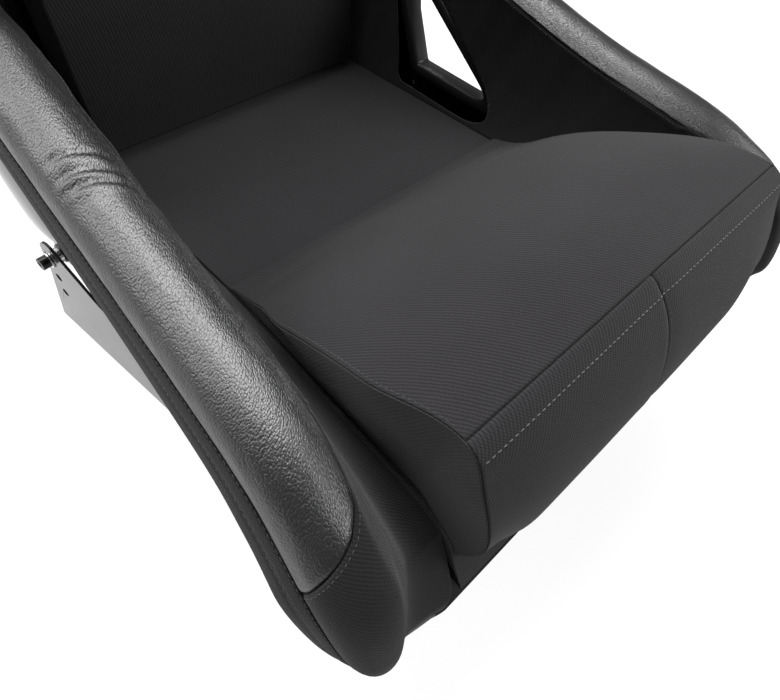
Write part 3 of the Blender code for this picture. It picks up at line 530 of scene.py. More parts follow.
def satin_plastic(name):
    """Moulded plastic with a fine spark-eroded grain."""
    s = Shader(name, 0.36, Specular_IOR_Level=0.5)
    space = s.coords("Object")
    grain = s.noise(space, 1500.0, 2.0)
    drift = s.noise(space, 25.0, 3.0)
    s.color(drift, (0.011, 0.0112, 0.0125), (0.019, 0.0195, 0.021))
    s.roughness(s.ramp(s.math("ADD", grain, drift), 0.28, 0.46, 0.5, 1.5))
    s.bump(grain, 0.00006, 0.5)
    return s.material


def powder_coat(name):
    """Glossy powder coat with orange peel."""
    s = Shader(name, 0.22, Specular_IOR_Level=0.5, Coat_Weight=0.3, Coat_Roughness=0.12)
    space = s.coords("Object")
    peel = s.noise(space, 520.0, 2.0)
    drift = s.noise(space, 18.0, 3.0)
    s.color(drift, (0.009, 0.009, 0.0095), (0.017, 0.017, 0.018))
    s.roughness(s.ramp(drift, 0.17, 0.30))
    s.bump(peel, 0.00010, 0.5)
    return s.material


def worn_metal(name, dark, light, low, high):
    """Plated or blackened steel, its roughness between low and high."""
    s = Shader(name, 0.3, 1.0)
    space = s.coords("Object", (1.0, 1.0, 4.0))
    drift = s.noise(space, 60.0, 4.0)
    fine = s.noise(space, 900.0, 3.0)
    s.color(s.math("MULTIPLY", s.math("ADD", drift, fine), 0.5), dark, light)
    s.roughness(s.ramp(s.math("ADD", drift, fine), low, high, 0.6, 1.4))
    s.bump(fine, 0.00004, 0.4)
    return s.material


def thread(name, dark, light):
    """Twisted polyester thread."""
    s = Shader(name, 0.75, Sheen_Weight=0.2)
    space = s.coords("Object")
    s.color(s.noise(space, 900.0, 2.0), dark, light)
    s.bump(s.noise(space, 2400.0, 2.0), 0.00008, 0.6)
    return s.material


SEAT_KNIT = knit("seat_knit_cover", (0.0065, 0.0060, 0.0066), (0.0260, 0.0245, 0.0265))
BOLSTER_KNIT = knit("bolster_knit_cover", (0.0030, 0.0029, 0.0031), (0.0150, 0.0145, 0.0156))
LEATHER = leather("grained_leather")
GELCOAT = gloss_shell("gloss_gelcoat")
PLASTIC = satin_plastic("satin_plastic")
COLLAR = satin_plastic("spacer_plastic")
POWDER = powder_coat("black_powder_coat")
BLACK_STEEL = worn_metal("black_oxide_steel", (0.020, 0.0195, 0.019), (0.075, 0.072, 0.070), 0.24, 0.44)
ZINC = worn_metal("zinc_plate", (0.50, 0.50, 0.50), (0.78, 0.78, 0.77), 0.20, 0.36)
GREY_THREAD = thread("grey_thread", (0.035, 0.034, 0.034), (0.090, 0.088, 0.086))
DARK_THREAD = thread("dark_thread", (0.006, 0.006, 0.0064), (0.022, 0.022, 0.023))


# ---------------------------------------------------------------- outlines and cutters
def rounded_outline(corners):
    """Points around a polygon of (a, b, radius) corners."""
    steps, outline = 8, []
    for k, (a, b, radius) in enumerate(corners):
        here, before = Vector((a, b)), Vector(corners[k - 1][:2])
        after = Vector(corners[(k + 1) % len(corners)][:2])
        to_before, to_after = (before - here).normalized(), (after - here).normalized()
        reach = radius / math.tan(0.5 * to_before.angle(to_after))
        start, end = here + to_before * reach, here + to_after * reach
        for step in range(steps + 1):
            t = step / steps
            outline.append(tuple((1 - t)**2 * start + 2 * t * (1 - t) * here + t**2 * end))
    return outline


def grow(corners, margin):
    """The same polygon with every side moved outwards by margin."""
    area = sum(corners[k - 1][0] * corners[k][1] - corners[k][0] * corners[k - 1][1]
               for k in range(len(corners)))
    turn = 1.0 if area > 0 else -1.0
    grown = []
    for k, (a, b, radius) in enumerate(corners):
        here = Vector((a, b))
        d1 = (here - Vector(corners[k - 1][:2])).normalized()
        d2 = (Vector(corners[(k + 1) % len(corners)][:2]) - here).normalized()
        n1, n2 = Vector((d1.y, -d1.x)) * turn, Vector((d2.y, -d2.x)) * turn
        corner = here + (n1 + n2) * margin / (1 + n1.dot(n2))
        grown.append((corner.x, corner.y, radius + max(margin, 0.0)))
    return grown


def ring_mesh(rings, closed=False):
    """Verts and faces through rings of equal length, capped or closed on itself."""
    count = len(rings[0])
    verts = [tuple(p) for ring in rings for p in ring]
    faces = []
    for r in range(len(rings) if closed else len(rings) - 1):
        n = (r + 1) % len(rings)
        for k in range(count):
            m = (k + 1) % count
            faces.append((r * count + k, r * count + m, n * count + m, n * count + k))
    if not closed:
        last = (len(rings) - 1) * count
        faces += [tuple(range(count))[::-1], tuple(last + k for k in range(count))]
    return verts, faces


def outward(obj):
    """The object with its faces turned outwards."""
    bm = bmesh.new()
    bm.from_mesh(obj.data)
    bmesh.ops.recalc_face_normals(bm, faces=bm.faces)
    bm.to_mesh(obj.data)
    bm.free()
    return obj


def lap_place(side):
    """Carries (s, z) of the lap-belt opening, and a distance x from the middle, into the row."""
    return lambda s, z, x: to_row((side * x, s, z))


def on_back(x, up, depth):
    """Seat coordinates of points over the shell's back: up along it, depth forward of it."""
    cos, sin = math.cos(BACK_RECLINE), math.sin(BACK_RECLINE)
    rise = up - BACK_FOOT[1]
    return np.stack([x, BACK_FOOT[0] - sin * rise + cos * depth, BACK_FOOT[1] + cos * rise + sin * depth], -1)


def back_place(x, up, depth):
    return to_row(on_back(x, up, depth))


def rings_through(corners, place, section):
    """Rings around an opening, one per (margin, level); place carries (a, b, level) into the row."""
    return [[place(a, b, level) for a, b in rounded_outline(grow(corners, margin))] for margin, level in section]


def block(name, corners, place, margin, levels):
    """A block through an opening, between two levels."""
    rings = rings_through(corners, place, [(margin, level) for level in levels])
    return outward(mesh_object(name, *ring_mesh(rings), None))


def mirrored(corners, side):
    return [(side * a, b, radius) for a, b, radius in corners]


def bracket_matrix(side):
    """Frame of a bracket plate at its rear bolt: X forward along it, Z out of its face."""
    forward = Vector((-side * math.sin(BRACKET_TOE), -math.cos(BRACKET_TOE), 0.0))
    level = Vector((side * math.cos(BRACKET_TOE), -math.sin(BRACKET_TOE), 0.0))
    outward_axis = level * math.cos(BRACKET_LEAN) + Vector((0.0, 0.0, math.sin(BRACKET_LEAN)))
    matrix = Matrix((forward, outward_axis.cross(forward), outward_axis)).transposed().to_4x4()
    matrix.translation = (side * BOLT_X, CREASE_Y - BOLT_FORWARD, CREASE_Z + BOLT_UP)
    return matrix


def bolt_cylinder(name, side, place, radius, low, high):
    """A cylinder on a bracket's bolt axis, between two distances out of its plate."""
    count, (forward, up) = 48, place
    matrix = bracket_matrix(side) @ Matrix.Translation((forward, -side * up, 0.0))
    rings = [[matrix @ Vector((radius * math.cos(2 * math.pi * k / count),
                               radius * math.sin(2 * math.pi * k / count), level))
              for k in range(count)] for level in (low, high)]
    return outward(mesh_object(name, *ring_mesh(rings), None))


def joined(name, objects):
    """Several objects' meshes in one new object."""
    bm = bmesh.new()
    for obj in objects:
        bm.from_mesh(obj.data)
    mesh = bpy.data.meshes.new(name)
    bm.to_mesh(mesh)
    bm.free()
    drop(*objects)
    return link(bpy.data.objects.new(name, mesh))


def cut(target, tools, operation="DIFFERENCE"):
    """The target with the tools cut out of it, or joined to it."""
    tool = joined("cutting_tool", tools)
    modifier = target.modifiers.new("cut", "BOOLEAN")
    modifier.operation, modifier.solver, modifier.object = operation, "EXACT", tool
    baked(target)
    drop(tool)
    return target


def eased(obj, width, degrees):
    """Gives an object's sharp edges a small bevel."""
    bevel = obj.modifiers.new("edge", "BEVEL")
    bevel.width, bevel.segments, bevel.limit_method = width, 2, "ANGLE"
    bevel.angle_limit = math.radians(degrees)
    return bevel


# ---------------------------------------------------------------- shell
def build_shell():
    half = side_profile()
    pan = np.stack([columns(FOOT * k / 10, 0.0, 0.0) for k in range(10)], 1)
    half = np.concatenate([pan, half], axis=1)
    full = np.concatenate([half[:, :0:-1] * np.array([-1.0, 1.0, 1.0]), half], axis=1)
    grid = at_places(on_sections(full), along(0.0, LAST_STATION, 230))
    obj = Panel(grid, (0.0, 0.4, 1.0)).build("seat_shell_body", GELCOAT, SHELL_THICKNESS)
    bosses, bores = [], []
    for side_name, side in SIDES:
        for place, (low, high) in BOSSES:
            bosses.append(bolt_cylinder("boss", side, place, BOSS_RADIUS, low, high))
            bores.append(bolt_cylinder("bore", side, place, INSERT_RADIUS + FIT, low - 0.03, high + 0.01))
        bores.append(block("lap_" + side_name, LAP_WINDOW, lap_place(side), FRAME_WALL + FIT, (0.15, 0.32)))
        bores.append(block("slot_" + side_name, mirrored(SHOULDER_SLOT, side), back_place, FRAME_WALL + FIT,
                           (-0.06, 0.06)))
    cut(obj, bosses, "UNION")
    cut(obj, bores)
    obj.data.shade_smooth()
    obj.data.set_sharp_from_angle(angle=math.radians(32.0))
    eased(obj, 0.0006, 50.0)
    belong(obj, "seat", "shell_gelcoat", "seat_shell")


# ---------------------------------------------------------------- bolsters
ROLL_SEAM, ROLL_END = math.radians(148.0), math.radians(-6.0)      # angles around the roll
ROLL_OVER = 0.004       # the roll's centre stands this far out over the shell's rim


def bolster_tables(offset, radius, clearance):
    """Liner, roll and hem of a bolster at every place."""
    edge = pad_edge() + 0.0015
    center_x = RIM_X + np.maximum(-offset, RIM_R + clearance + 0.0012 - radius)
    start_rise = np.minimum(pad_height(), HEIGHT - 0.01)

    def around(angle):
        return columns(center_x + radius * math.cos(angle), HEIGHT, ROLL_OVER + radius * math.sin(angle))
    seam = around(ROLL_SEAM)
    start = columns(edge, start_rise, 0.0)
    control = columns(0.25 * edge + 0.75 * seam[:, 0] + 0.004, 0.62 * start_rise + 0.38 * HEIGHT, 0.0)
    wall = [columns(edge, np.maximum(start_rise - d, 0.0015), 0.0) for d in (0.030, 0.015, 0.006)]
    liner = np.concatenate([np.stack(wall, 1), bezier(start, control, seam, spaced(30, 0.5))], axis=1)
    roll = np.stack([around(ROLL_SEAM + (ROLL_END - ROLL_SEAM) * t) for t in spaced(44, 0.5)], 1)
    skin = side_profile(clearance)
    hem_x, hem_over = skin[:, -1, 0], skin[:, -1, 2]
    top = roll[:, -1]
    band = []
    for t in spaced(20, 0.5):
        swell = 0.0012 * math.sin(math.pi * t)**0.5
        band.append(columns(top[:, 0] * (1 - t) + (hem_x + HEM_THICKNESS) * t + swell, HEIGHT,
                            top[:, 2] * (1 - t) + hem_over * t))
    for a in np.radians((30, 60, 90, 120, 150, 180)):
        band.append(columns(hem_x - 0.0036 + 0.0064 * math.cos(a), HEIGHT, hem_over - 0.0026 * math.sin(a)))
    for rise in (0.003, 0.006):
        band.append(columns(hem_x - 0.0100, HEIGHT, hem_over + rise))
    return [on_sections(table) for table in (liner, roll, np.stack(band, 1))]


def ripples(u, v, seeds):
    """Soft deterministic unevenness of stuffed cloth."""
    total = np.zeros_like(u)
    for k, (a, b, phase) in enumerate(seeds):
        total += np.sin(a * u + b * v + phase) / (1.0 + 0.4 * k)
    return total


SWELLS = ((31.0, 20.0, 0.3), (67.0, -45.0, 1.9), (118.0, 70.0, 4.1), (190.0, -60.0, 2.6))
INWARD, OUTSIDE = (-0.7, 0.5, 0.8), (1.0, 0.0, 0.1)
# Where the leather ends at the front: across the roll from its inner seam, and the place.
LEATHER_END = ((0.0, 3.87), (0.084, 3.24), (0.16, 2.84), (0.225, 2.62), (0.368, 2.42), (0.487, 2.34),
               (0.618, 2.28), (0.793, 2.22), (1.0, 2.18))
TIP_PLACE, NOSE_PLACE = 0.10, 1.90
WRINKLES = ((0.2055, 0.0030), (0.1945, 0.0045), (0.1800, 0.0040))   # s at the crown, and bend
THIGH_END = 11.0        # place where the thigh bolsters end
# pitch, length and radius of the stitches
ROLL_STITCH, KNIT_STITCH = (0.0036, 0.0024, 0.00026), (0.0040, 0.0028, 0.00032)
BAND_STITCH, HEM_STITCH = (0.0052, 0.0036, 0.00036), (0.0048, 0.0034, 0.00034)
TOP_STITCH, CENTRE_STITCH = (0.0047, 0.0033, 0.00042), (0.0044, 0.0028, 0.00030)
WEDGE_STITCH = (0.0040, 0.0026, 0.00028)


def round_nose(tables, skin):
    """The front end of a bolster's surfaces, rounded down onto the shell's skin."""
    rows = int(np.searchsorted(PLACES, NOSE_PLACE))
    done = []
    for table in tables:
        table = table.copy()
        for row in range(rows):
            t = min(1.0, (NOSE_PLACE - PLACES[row]) / (NOSE_PLACE - TIP_PLACE))
            thick = math.sqrt(1 - t * t)
            apart = np.linalg.norm(skin[row][None] - table[row][:, None], axis=-1)
            inner = skin[row][apart.argmin(axis=1)]
            table[row] = inner + (table[row] - inner) * thick
        done.append(table)
    return done


def wrinkle_field(grid, across):
    """Three arched creases where the thigh roll bends at its rear."""
    s = grid[..., 1]
    total = np.zeros_like(s)
    for place, bend in WRINKLES:
        centre = place + bend * (across - 0.45)**2 * 4 - 0.032 * (across - 0.45)
        d = s - centre
        window = ease(across, 0.14, 0.32) * (1 - ease(across, 0.52, 0.72))
        total += window * (0.0009 * np.exp(-((d - 0.004) / 0.0036)**2) - 0.0020 * np.exp(-(d / 0.0017)**2))
    return total


def build_thigh_bolster(side_name, side):
    """A thigh bolster: knit liner and nose, leather roll and knit hem band, with their stitching."""
    name = "thigh_bolster_" + side_name
    offset = 0.008 + 0.010 * ease(PLACES, 8.0, 10.0)
    radius = ROLL_RADIUS * np.minimum(1.0, 0.55 + 0.25 * PLACES)
    skin = on_sections(side_profile(0.0006, 24, 40, 30))
    liner, roll, hem = round_nose(bolster_tables(offset, radius, 0.0024), skin)
    across = np.linspace(0.0, 1.0, roll.shape[1])
    end_place = np.interp(across, *np.array(LEATHER_END).T)

    # the knit: the liner, and the nose that runs on over the roll ahead of the leather
    front_rows, rear_rows = 60, 130
    front = at_places(liner, along(TIP_PLACE, end_place[0], front_rows, crowd=0.5))
    rear = at_places(liner, along(end_place[0], THIGH_END, rear_rows, crowd=0.2))
    nose = at_places(roll, np.stack([along(TIP_PLACE, p, front_rows, crowd=0.5) for p in end_place], 1))
    seam_column = front.shape[1] - 1
    knit_front = np.concatenate([front, nose[:, 1:]], axis=1)
    # the fold between liner and roll is smoothed away on the nose, and less towards the leather
    near = 1 - ease(np.abs(np.arange(1, knit_front.shape[1] - 1) - seam_column), 5, 12)
    ahead = 1 - ease(np.arange(front_rows), 0.72 * front_rows, front_rows)
    share = near[None, :, None] * ahead[:, None, None]
    for _ in range(60):
        mean = 0.5 * (knit_front[:, :-2] + knit_front[:, 2:])
        knit_front[:, 1:-1] += 0.6 * share * (mean - knit_front[:, 1:-1])
    nose_panel = Panel(knit_front[:, seam_column:], (0.0, 0.7, 0.7),
                       (None, (0.0035, 0.0022), None, (0.0030, 0.0020)))
    full = np.concatenate([knit_front[:, :seam_column + 1], rear[1:]], axis=0)
    seam_line = full[front_rows - 1:, -1]
    away = from_line(full, seam_line)
    depth = rolled(away, 0.0030, 0.0022) - 0.0011 * np.exp(-((away - 0.0040) / 0.0016)**2)
    soft = 0.0005 * ripples(full[..., 1], full[..., 2], SWELLS) * ease(arc_along(full, 1), 0.03, 0.06)
    soft = soft * ease(np.arange(len(full)), front_rows, front_rows + 20)[:, None]
    panel = Panel(full, INWARD, (None, (0.004, 0.003), None, None), soft - depth)
    nose_panel.grid[:, 0] = panel.grid[:front_rows, -1]
    liner_obj = panel.build(name + "_liner", BOLSTER_KNIT, mirror=side)
    for margin, end in ((FRAME_BORDER, LAP_FACE_X + FRAME_FLANGE + FIT), (FRAME_WALL, 0.24)):
        cut(liner_obj, [block("opening", LAP_WINDOW, lap_place(side), margin + FIT, (0.16, end))])
    belong(liner_obj, "seat", "bolster_knit", name, fill=0.6)
    nose_obj = nose_panel.build(name + "_nose", BOLSTER_KNIT, mirror=side)
    belong(nose_obj, "seat", "bolster_knit", name, fill=0.7)
    points, normals = panel.line(3, 0.0028)
    rows = [stitch_row(points[front_rows:], normals[front_rows:], *ROLL_STITCH)]
    points, normals = nose_panel.line(1, 0.0026)
    rows.append(stitch_row(points[1:-1], normals[1:-1], *ROLL_STITCH))

    leather_grid = at_places(roll, np.stack([along(p, THIGH_END, 190, crowd=0.25) for p in end_place], 1))
    v = np.broadcast_to(across, leather_grid.shape[:2])
    crease = 1.0 if side < 0 else 0.3
    puffs = 0.00012 * ripples(leather_grid[..., 1], 0.6 * v, SWELLS) + crease * wrinkle_field(leather_grid, v)
    edges = ((0.0055, 0.0024), (0.006, 0.003), (0.0050, 0.0024), (0.0045, 0.0022))
    roll_obj = Panel(leather_grid, INWARD, edges, puffs).build(name + "_roll", LEATHER, mirror=side)
    belong(roll_obj, "seat", "roll_leather", name, fill=0.75)

    hem_grid = at_places(hem, along(TIP_PLACE, THIGH_END, 190, crowd=0.2))
    hem_away = arc_along(hem_grid, 1)
    band_width = 0.5 * hem_away[:, 19:20]
    groove = 0.0007 * np.exp(-((hem_away - band_width) / 0.0016)**2)
    hem_panel = Panel(hem_grid, OUTSIDE, (None, (0.004, 0.003), (0.0030, 0.0020), None), -groove)
    hem_obj = hem_panel.build(name + "_hem", BOLSTER_KNIT, 0.0010, mirror=side)
    belong(hem_obj, "seat", "bolster_knit", name, fill=0.3)
    middle = np.array([at_lengths(w, d, g)[0] for w, d, g in zip(band_width, hem_away, hem_panel.grid)])
    rows.append(stitch_row(middle[8:-4], hem_panel.normals[8:-4, 10], *BAND_STITCH))
    points, normals = hem_panel.line(2, 0.0016)
    rows.append(stitch_row(points[8:-4], normals[8:-4], *HEM_STITCH))
    belong(stitches(name + "_stitching", rows, DARK_THREAD, mirror=side), "seat", "bolster_knit")


def build_knit_bolster(name, side, span, offset, radius, clearance):
    """A bolster covered in knit alone, between two places."""
    liner, roll, hem = bolster_tables(offset, radius, clearance)
    count = max(40, int(np.ptp(np.interp(span, PLACES, RIM_ARC)) / 0.004))
    places = along(span[0], span[1], count, crowd=0.25)
    ends = ((0.006, 0.004), (0.006, 0.004))
    rows = []
    for label, table, facing, seams, fill, wall in (
            ("liner", liner, INWARD, (None, (0.0045, 0.0022)), 0.6, 0.0016),
            ("roll", roll, INWARD, ((0.0045, 0.0022), (0.0040, 0.0022)), 0.75, 0.0016),
            ("hem", hem, OUTSIDE, ((0.0030, 0.0022), None), 0.3, 0.0010)):
        grid = at_places(table, places)
        plump = 0.0 if label == "hem" else 0.0004
        swell = plump * ripples(grid[..., 1] + grid[..., 2], grid[..., 0] - grid[..., 2], SWELLS)
        panel = Panel(grid, facing, ends + seams, swell)
        obj = panel.build("%s_%s" % (name, label), BOLSTER_KNIT, wall, mirror=side)
        belong(obj, "seat", "bolster_knit", name, fill=fill)
        if plump:
            points, normals = panel.line(3, 0.0034)
            rows.append(stitch_row(points[4:-4], normals[4:-4], *KNIT_STITCH))
    belong(stitches(name + "_stitching", rows, DARK_THREAD, mirror=side), "seat", "bolster_knit")


# ---------------------------------------------------------------- cushions
class Box:
    """The skin of a lattice box, bent into a cushion. a runs across, b rearwards to the
    front or upwards, c from the back face to the face the occupant touches."""

    def __init__(self, steps, shape):
        sizes = [len(s) for s in steps]
        keys = [key for key in product(*map(range, sizes)) if any(k in (0, n - 1) for k, n in zip(key, sizes))]
        index = {key: number for number, key in enumerate(keys)}
        self.abc = np.array([[s[k] for s, k in zip(steps, key)] for key in keys])
        self.points = shape(self.abc)
        self.faces, self.flats = [], []
        for axis in range(3):
            u, v = flat = [d for d in range(3) if d != axis]
            for end, p, q in product((0, sizes[axis] - 1), range(sizes[u] - 1), range(sizes[v] - 1)):
                corners = []
                for dp, dq in ((0, 0), (1, 0), (1, 1), (0, 1)):
                    key = [end] * 3
                    key[u], key[v] = p + dp, q + dq
                    corners.append(index[tuple(key)])
                self.faces.append(corners if (end == 0) == (axis == 1) else corners[::-1])
                self.flats.append(flat)

    def on_edges(self):
        """True for the points on the box's twelve edges."""
        return ((self.abc < 1e-9) | (self.abc > 1 - 1e-9)).sum(axis=1) >= 2

    def build(self, name, material):
        uvs = [self.points[v][flat] for face, flat in zip(self.faces, self.flats) for v in face]
        return outward(mesh_object(name, to_row(self.points), self.faces, material, uvs))


def places_of(mesh):
    return np.array([v.co for v in mesh.vertices])


def move_vertices(mesh, points):
    mesh.vertices.foreach_set("co", points.ravel().astype(np.float32))
    mesh.update()


def push_in(obj, depth):
    """Presses a cover in along its normals."""
    normals = np.array([v.normal for v in obj.data.vertices])
    move_vertices(obj.data, places_of(obj.data) - normals * depth[:, None])


CLOTH_FRAMES = 20       # how long the covers are simulated


def inflate(obj, pinned, pressure, cap):
    """Swells a closed cover by cloth simulation, by no more than cap, and applies the result."""
    group = obj.vertex_groups.new(name="pin")
    for weight in np.unique(pinned):
        if weight > 0:
            group.add(np.nonzero(pinned == weight)[0].tolist(), float(weight), "REPLACE")
    cloth = obj.modifiers.new("Cloth", "CLOTH")
    settings = cloth.settings
    settings.quality, settings.mass = 5, 0.15
    settings.tension_stiffness = settings.compression_stiffness = 12.0
    settings.shear_stiffness, settings.bending_stiffness = 6.0, 1.5
    settings.use_pressure, settings.uniform_pressure_force = True, pressure
    settings.effector_weights.gravity = 0.0
    settings.vertex_group_mass = "pin"
    cloth.collision_settings.use_collision = False
    scene = bpy.context.scene
    for number in range(1, CLOTH_FRAMES + 1):
        scene.frame_set(number)
    rest = places_of(obj.data)
    moved = obj.evaluated_get(bpy.context.evaluated_depsgraph_get())
    shift = places_of(moved.data) - rest
    reach = np.linalg.norm(shift, axis=1, keepdims=True)
    shift *= cap * np.tanh(reach / cap) / np.maximum(reach, 1e-9)
    obj.modifiers.clear()
    move_vertices(obj.data, rest + shift)
    scene.frame_set(1)


def subdivide(obj):
    modifier = obj.modifiers.new("smooth", "SUBSURF")
    modifier.levels = modifier.render_levels = 1
    baked(obj)
    obj.data.shade_smooth()


SEAM_LINES = (0.0008, 0.0022, 0.0052)       # extra lattice lines, at these distances from a seam


def edge_steps(length, cell, seams=(0.0, 1.0)):
    """Lattice steps from 0 to 1, with extra lines beside the seams."""
    marks = {0.0, length}
    for seam in seams:
        marks.add(seam * length)
        for n in SEAM_LINES:
            marks.update(m for m in (seam * length - n, seam * length + n) if 0.0 < m < length)
    marks = sorted(marks)
    steps = [0.0]
    for low, high in zip(marks, marks[1:]):
        if high - low < 0.0006:
            continue
        count = max(1, int(round((high - low) / cell)))
        steps += [low + (high - low) * k / count for k in range(1, count + 1)]
    return np.array(steps) / length


def curve(points):
    """A smooth curve through points, as a function of 0 to 1 along its length."""
    points = np.array(points, float)
    arc = arc_lengths(points)
    slope = np.gradient(points, arc, axis=0)

    def at(t):
        d = np.clip(np.asarray(t, float), 0, 1) * arc[-1]
        k = np.clip(np.searchsorted(arc, d, side="right") - 1, 0, len(arc) - 2)
        h = (arc[k + 1] - arc[k])[..., None]
        w = (d - arc[k])[..., None] / h
        return hermite(w, points[k], h * slope[k], points[k + 1], h * slope[k + 1])
    return at


def pad_surface(s):
    s = np.asarray(s, float)
    return PAD_SLOPE * np.minimum(s, 0.470) - 14.0 * np.maximum(0.0, s - 0.463)**2


WEDGE_UNDER = [(s, float(pad_surface(s)) + 0.0012) for s in (0.232, 0.262, 0.310, 0.370, 0.430, 0.470)]
WEDGE_UNDER += [(0.4880, 0.0060), (0.5000, -0.0120), (0.5120, -0.0260)]
WEDGE_NOSE = [(0.5120, -0.0260), (0.5190, -0.0200), (0.5240, -0.0060), (0.5262, 0.0200), (0.5234, 0.0401),
              (0.5180, 0.0606), (0.5110, 0.0790), (0.5010, 0.0990), (0.4930, 0.1120), (0.4870, 0.1180),
              (0.4800, 0.1195)]
WEDGE_TOP = [(0.2270, 0.0130), (0.2380, 0.0160), (0.2620, 0.0260), (0.2900, 0.0470), (0.3280, 0.0700),
             (0.3640, 0.0880), (0.4140, 0.1090), (0.4480, 0.1195), (0.4660, 0.1220), (0.4800, 0.1210)]
WEDGE_DEPTH = 0.160                 # down its nose
WEDGE_HALF, WEDGE_WIDENING, SIDE_BULGE = 0.1715, 0.0120, 0.0120


def wedge_width(s):
    """Half-width of the wedge's seams, and 1 along the middle of its length and 0 at its ends."""
    middle = ease(s, 0.235, 0.320) * (1 - ease(s, 0.410, 0.482))
    return WEDGE_HALF + WEDGE_WIDENING * np.clip((s - 0.228) / (0.479 - 0.228), 0.0, 1.05), middle


def wedge_shape(abc):
    """The wedge's profiles blended over its box, then widened, domed and rounded."""
    a, b, c = abc.T
    under, top = curve(WEDGE_UNDER)(b), curve(WEDGE_TOP)(b)
    front, rear = curve(WEDGE_NOSE)(c), curve([WEDGE_UNDER[0], WEDGE_TOP[0]])(c)
    (rear_low, nose_low), (rear_high, nose_high) = [np.array([line[0], line[-1]])
                                                    for line in (WEDGE_UNDER, WEDGE_TOP)]
    high, b, c = c, b[:, None], c[:, None]
    flat = ((1 - c) * under + c * top + (1 - b) * rear + b * front
            - (1 - b) * (1 - c) * rear_low - (1 - b) * c * rear_high
            - b * (1 - c) * nose_low - b * c * nose_high)
    s, z = flat.T
    half, middle = wedge_width(s)
    across = 2 * a - 1
    half = half + SIDE_BULGE * middle * ease(z, 0.020, 0.070)
    # domed over the thighs, its top seams a little lower than its middle
    z = z + 0.0100 * high * middle * (1 - across**4) - 0.0015 * high * middle
    # the nose's lower corners are rounded off towards the sides
    side = ease(np.abs(across), 0.72, 1.0)
    near = side * ease(s, 0.44, 0.50)
    s = s - near * (0.005 * ease(-z, -0.118, -0.085) + 0.007 * ease(-z, -0.050, 0.010))
    z = z + near * 0.010 * ease(-z, -0.030, 0.020)
    return np.stack([across * half, s, z], 1)


def build_thigh_cushion():
    """The wedge: cover with a hem line and a centre seam on its nose, and three kinds of stitching."""
    name, hem, half_nose = "thigh_support_cushion", 0.017, 0.184
    steps = [edge_steps(length, 0.0085, seams) for length, seams in (
        (0.360, (0.0, 0.5, 1.0)), (0.275, (0.0, 1.0)), (WEDGE_DEPTH, (0.0, 1.0)))]
    box = Box(steps, wedge_shape)
    obj = box.build(name + "_cover", SEAT_KNIT)
    a, b, c = box.abc.T
    pinned = np.where(box.on_edges() | (b < 0.05) | (c < 1e-6), 1.0, 0.0)
    inflate(obj, pinned, 4.0, 0.010)
    x, down, on_front = (2 * a - 1) * half_nose, (1 - c) * WEDGE_DEPTH, b > 1 - 1e-9
    depth = np.where(box.on_edges() & (b > 0.02), 0.0030, 0.0)
    depth = np.maximum(depth, on_front * 0.0007 * np.exp(-((down - hem) / 0.0030)**2))
    # the centre seam is a groove, and its left half lies over the right
    centre = on_front * (c > 0.02)
    groove = 0.0012 * np.exp(-(x / 0.009)**2) + 0.0030 * (np.abs(x) < 0.0004)
    overlap = 0.0012 * np.exp(-((x + 0.004) / 0.004)**2) * (x < 0)
    push_in(obj, np.maximum(depth, centre * groove) - centre * overlap)
    subdivide(obj)
    belong(obj, "thigh_cushion", "seat_knit", name, fill=0.85)
    wide = np.linspace(-0.985, 0.985, 160) * (half_nose - 0.0005)
    top_line = np.column_stack([wide, curve(WEDGE_NOSE)(np.full(160, 1 - hem / WEDGE_DEPTH))])
    grey = stitches(name + "_topstitching", [cloth_stitches(obj, top_line, *TOP_STITCH)], GREY_THREAD)
    belong(grey, "thigh_cushion", "seat_knit")
    down_nose = curve(WEDGE_NOSE)(np.linspace(0.98, 0.04, 80))
    centre_line = np.column_stack([np.full(80, 0.0034), down_nose])
    rows = [cloth_stitches(obj, centre_line, *CENTRE_STITCH)]
    s, z = curve(WEDGE_TOP)(np.linspace(0.12, 0.97, 120)).T
    half, middle = wedge_width(s)
    for side in (-1.0, 1.0):
        edge = np.stack([side * (half + SIDE_BULGE * middle - 0.0030), s, z + 0.002], 1)
        rows.append(cloth_stitches(obj, edge, *WEDGE_STITCH))
    belong(stitches(name + "_seam_stitching", rows, DARK_THREAD), "thigh_cushion", "seat_knit")


def slab_shape(levels, crown):
    """Shape of a cushion on the back from levels (up, half-width, back depth, front depth)."""
    levels = np.array(levels)
    arc = (levels[:, 0] - levels[0, 0]) / np.ptp(levels[:, 0])

    def shape(abc):
        a, b, c = abc.T
        up = levels[0, 0] + b * np.ptp(levels[:, 0])
        half, low, high = [np.interp(b, arc, levels[:, k]) for k in (1, 2, 3)]
        across = 2 * a - 1
        depth = low + (high - low) * c + crown * c * (1 - across**2) * np.sin(math.pi * b)
        return on_back(across * half, up, depth)
    return shape


LUMBAR_LEVELS = [
    (-0.003, 0.158, 0.016, 0.0500), (0.012, 0.163, 0.0115, 0.0560), (0.060, 0.165, 0.0100, 0.0620),
    (0.120, 0.164, 0.0100, 0.0640), (0.190, 0.161, 0.0100, 0.0570), (0.245, 0.158, 0.0100, 0.0450),
    (0.270, 0.155, 0.0110, 0.0330)]
BACKREST_LEVELS = [
    (0.279, 0.154, 0.0090, 0.0280), (0.300, 0.158, 0.0080, 0.0320), (0.380, 0.160, 0.0080, 0.0335),
    (0.450, 0.157, 0.0080, 0.0320), (0.500, 0.147, 0.0080, 0.0285), (0.522, 0.130, 0.0090, 0.0230)]
HEADREST_LEVELS = [
    (0.612, 0.080, 0.0090, 0.0290), (0.630, 0.085, 0.0080, 0.0350), (0.690, 0.080, 0.0080, 0.0370),
    (0.735, 0.068, 0.0080, 0.0330), (0.750, 0.058, 0.0090, 0.0260)]


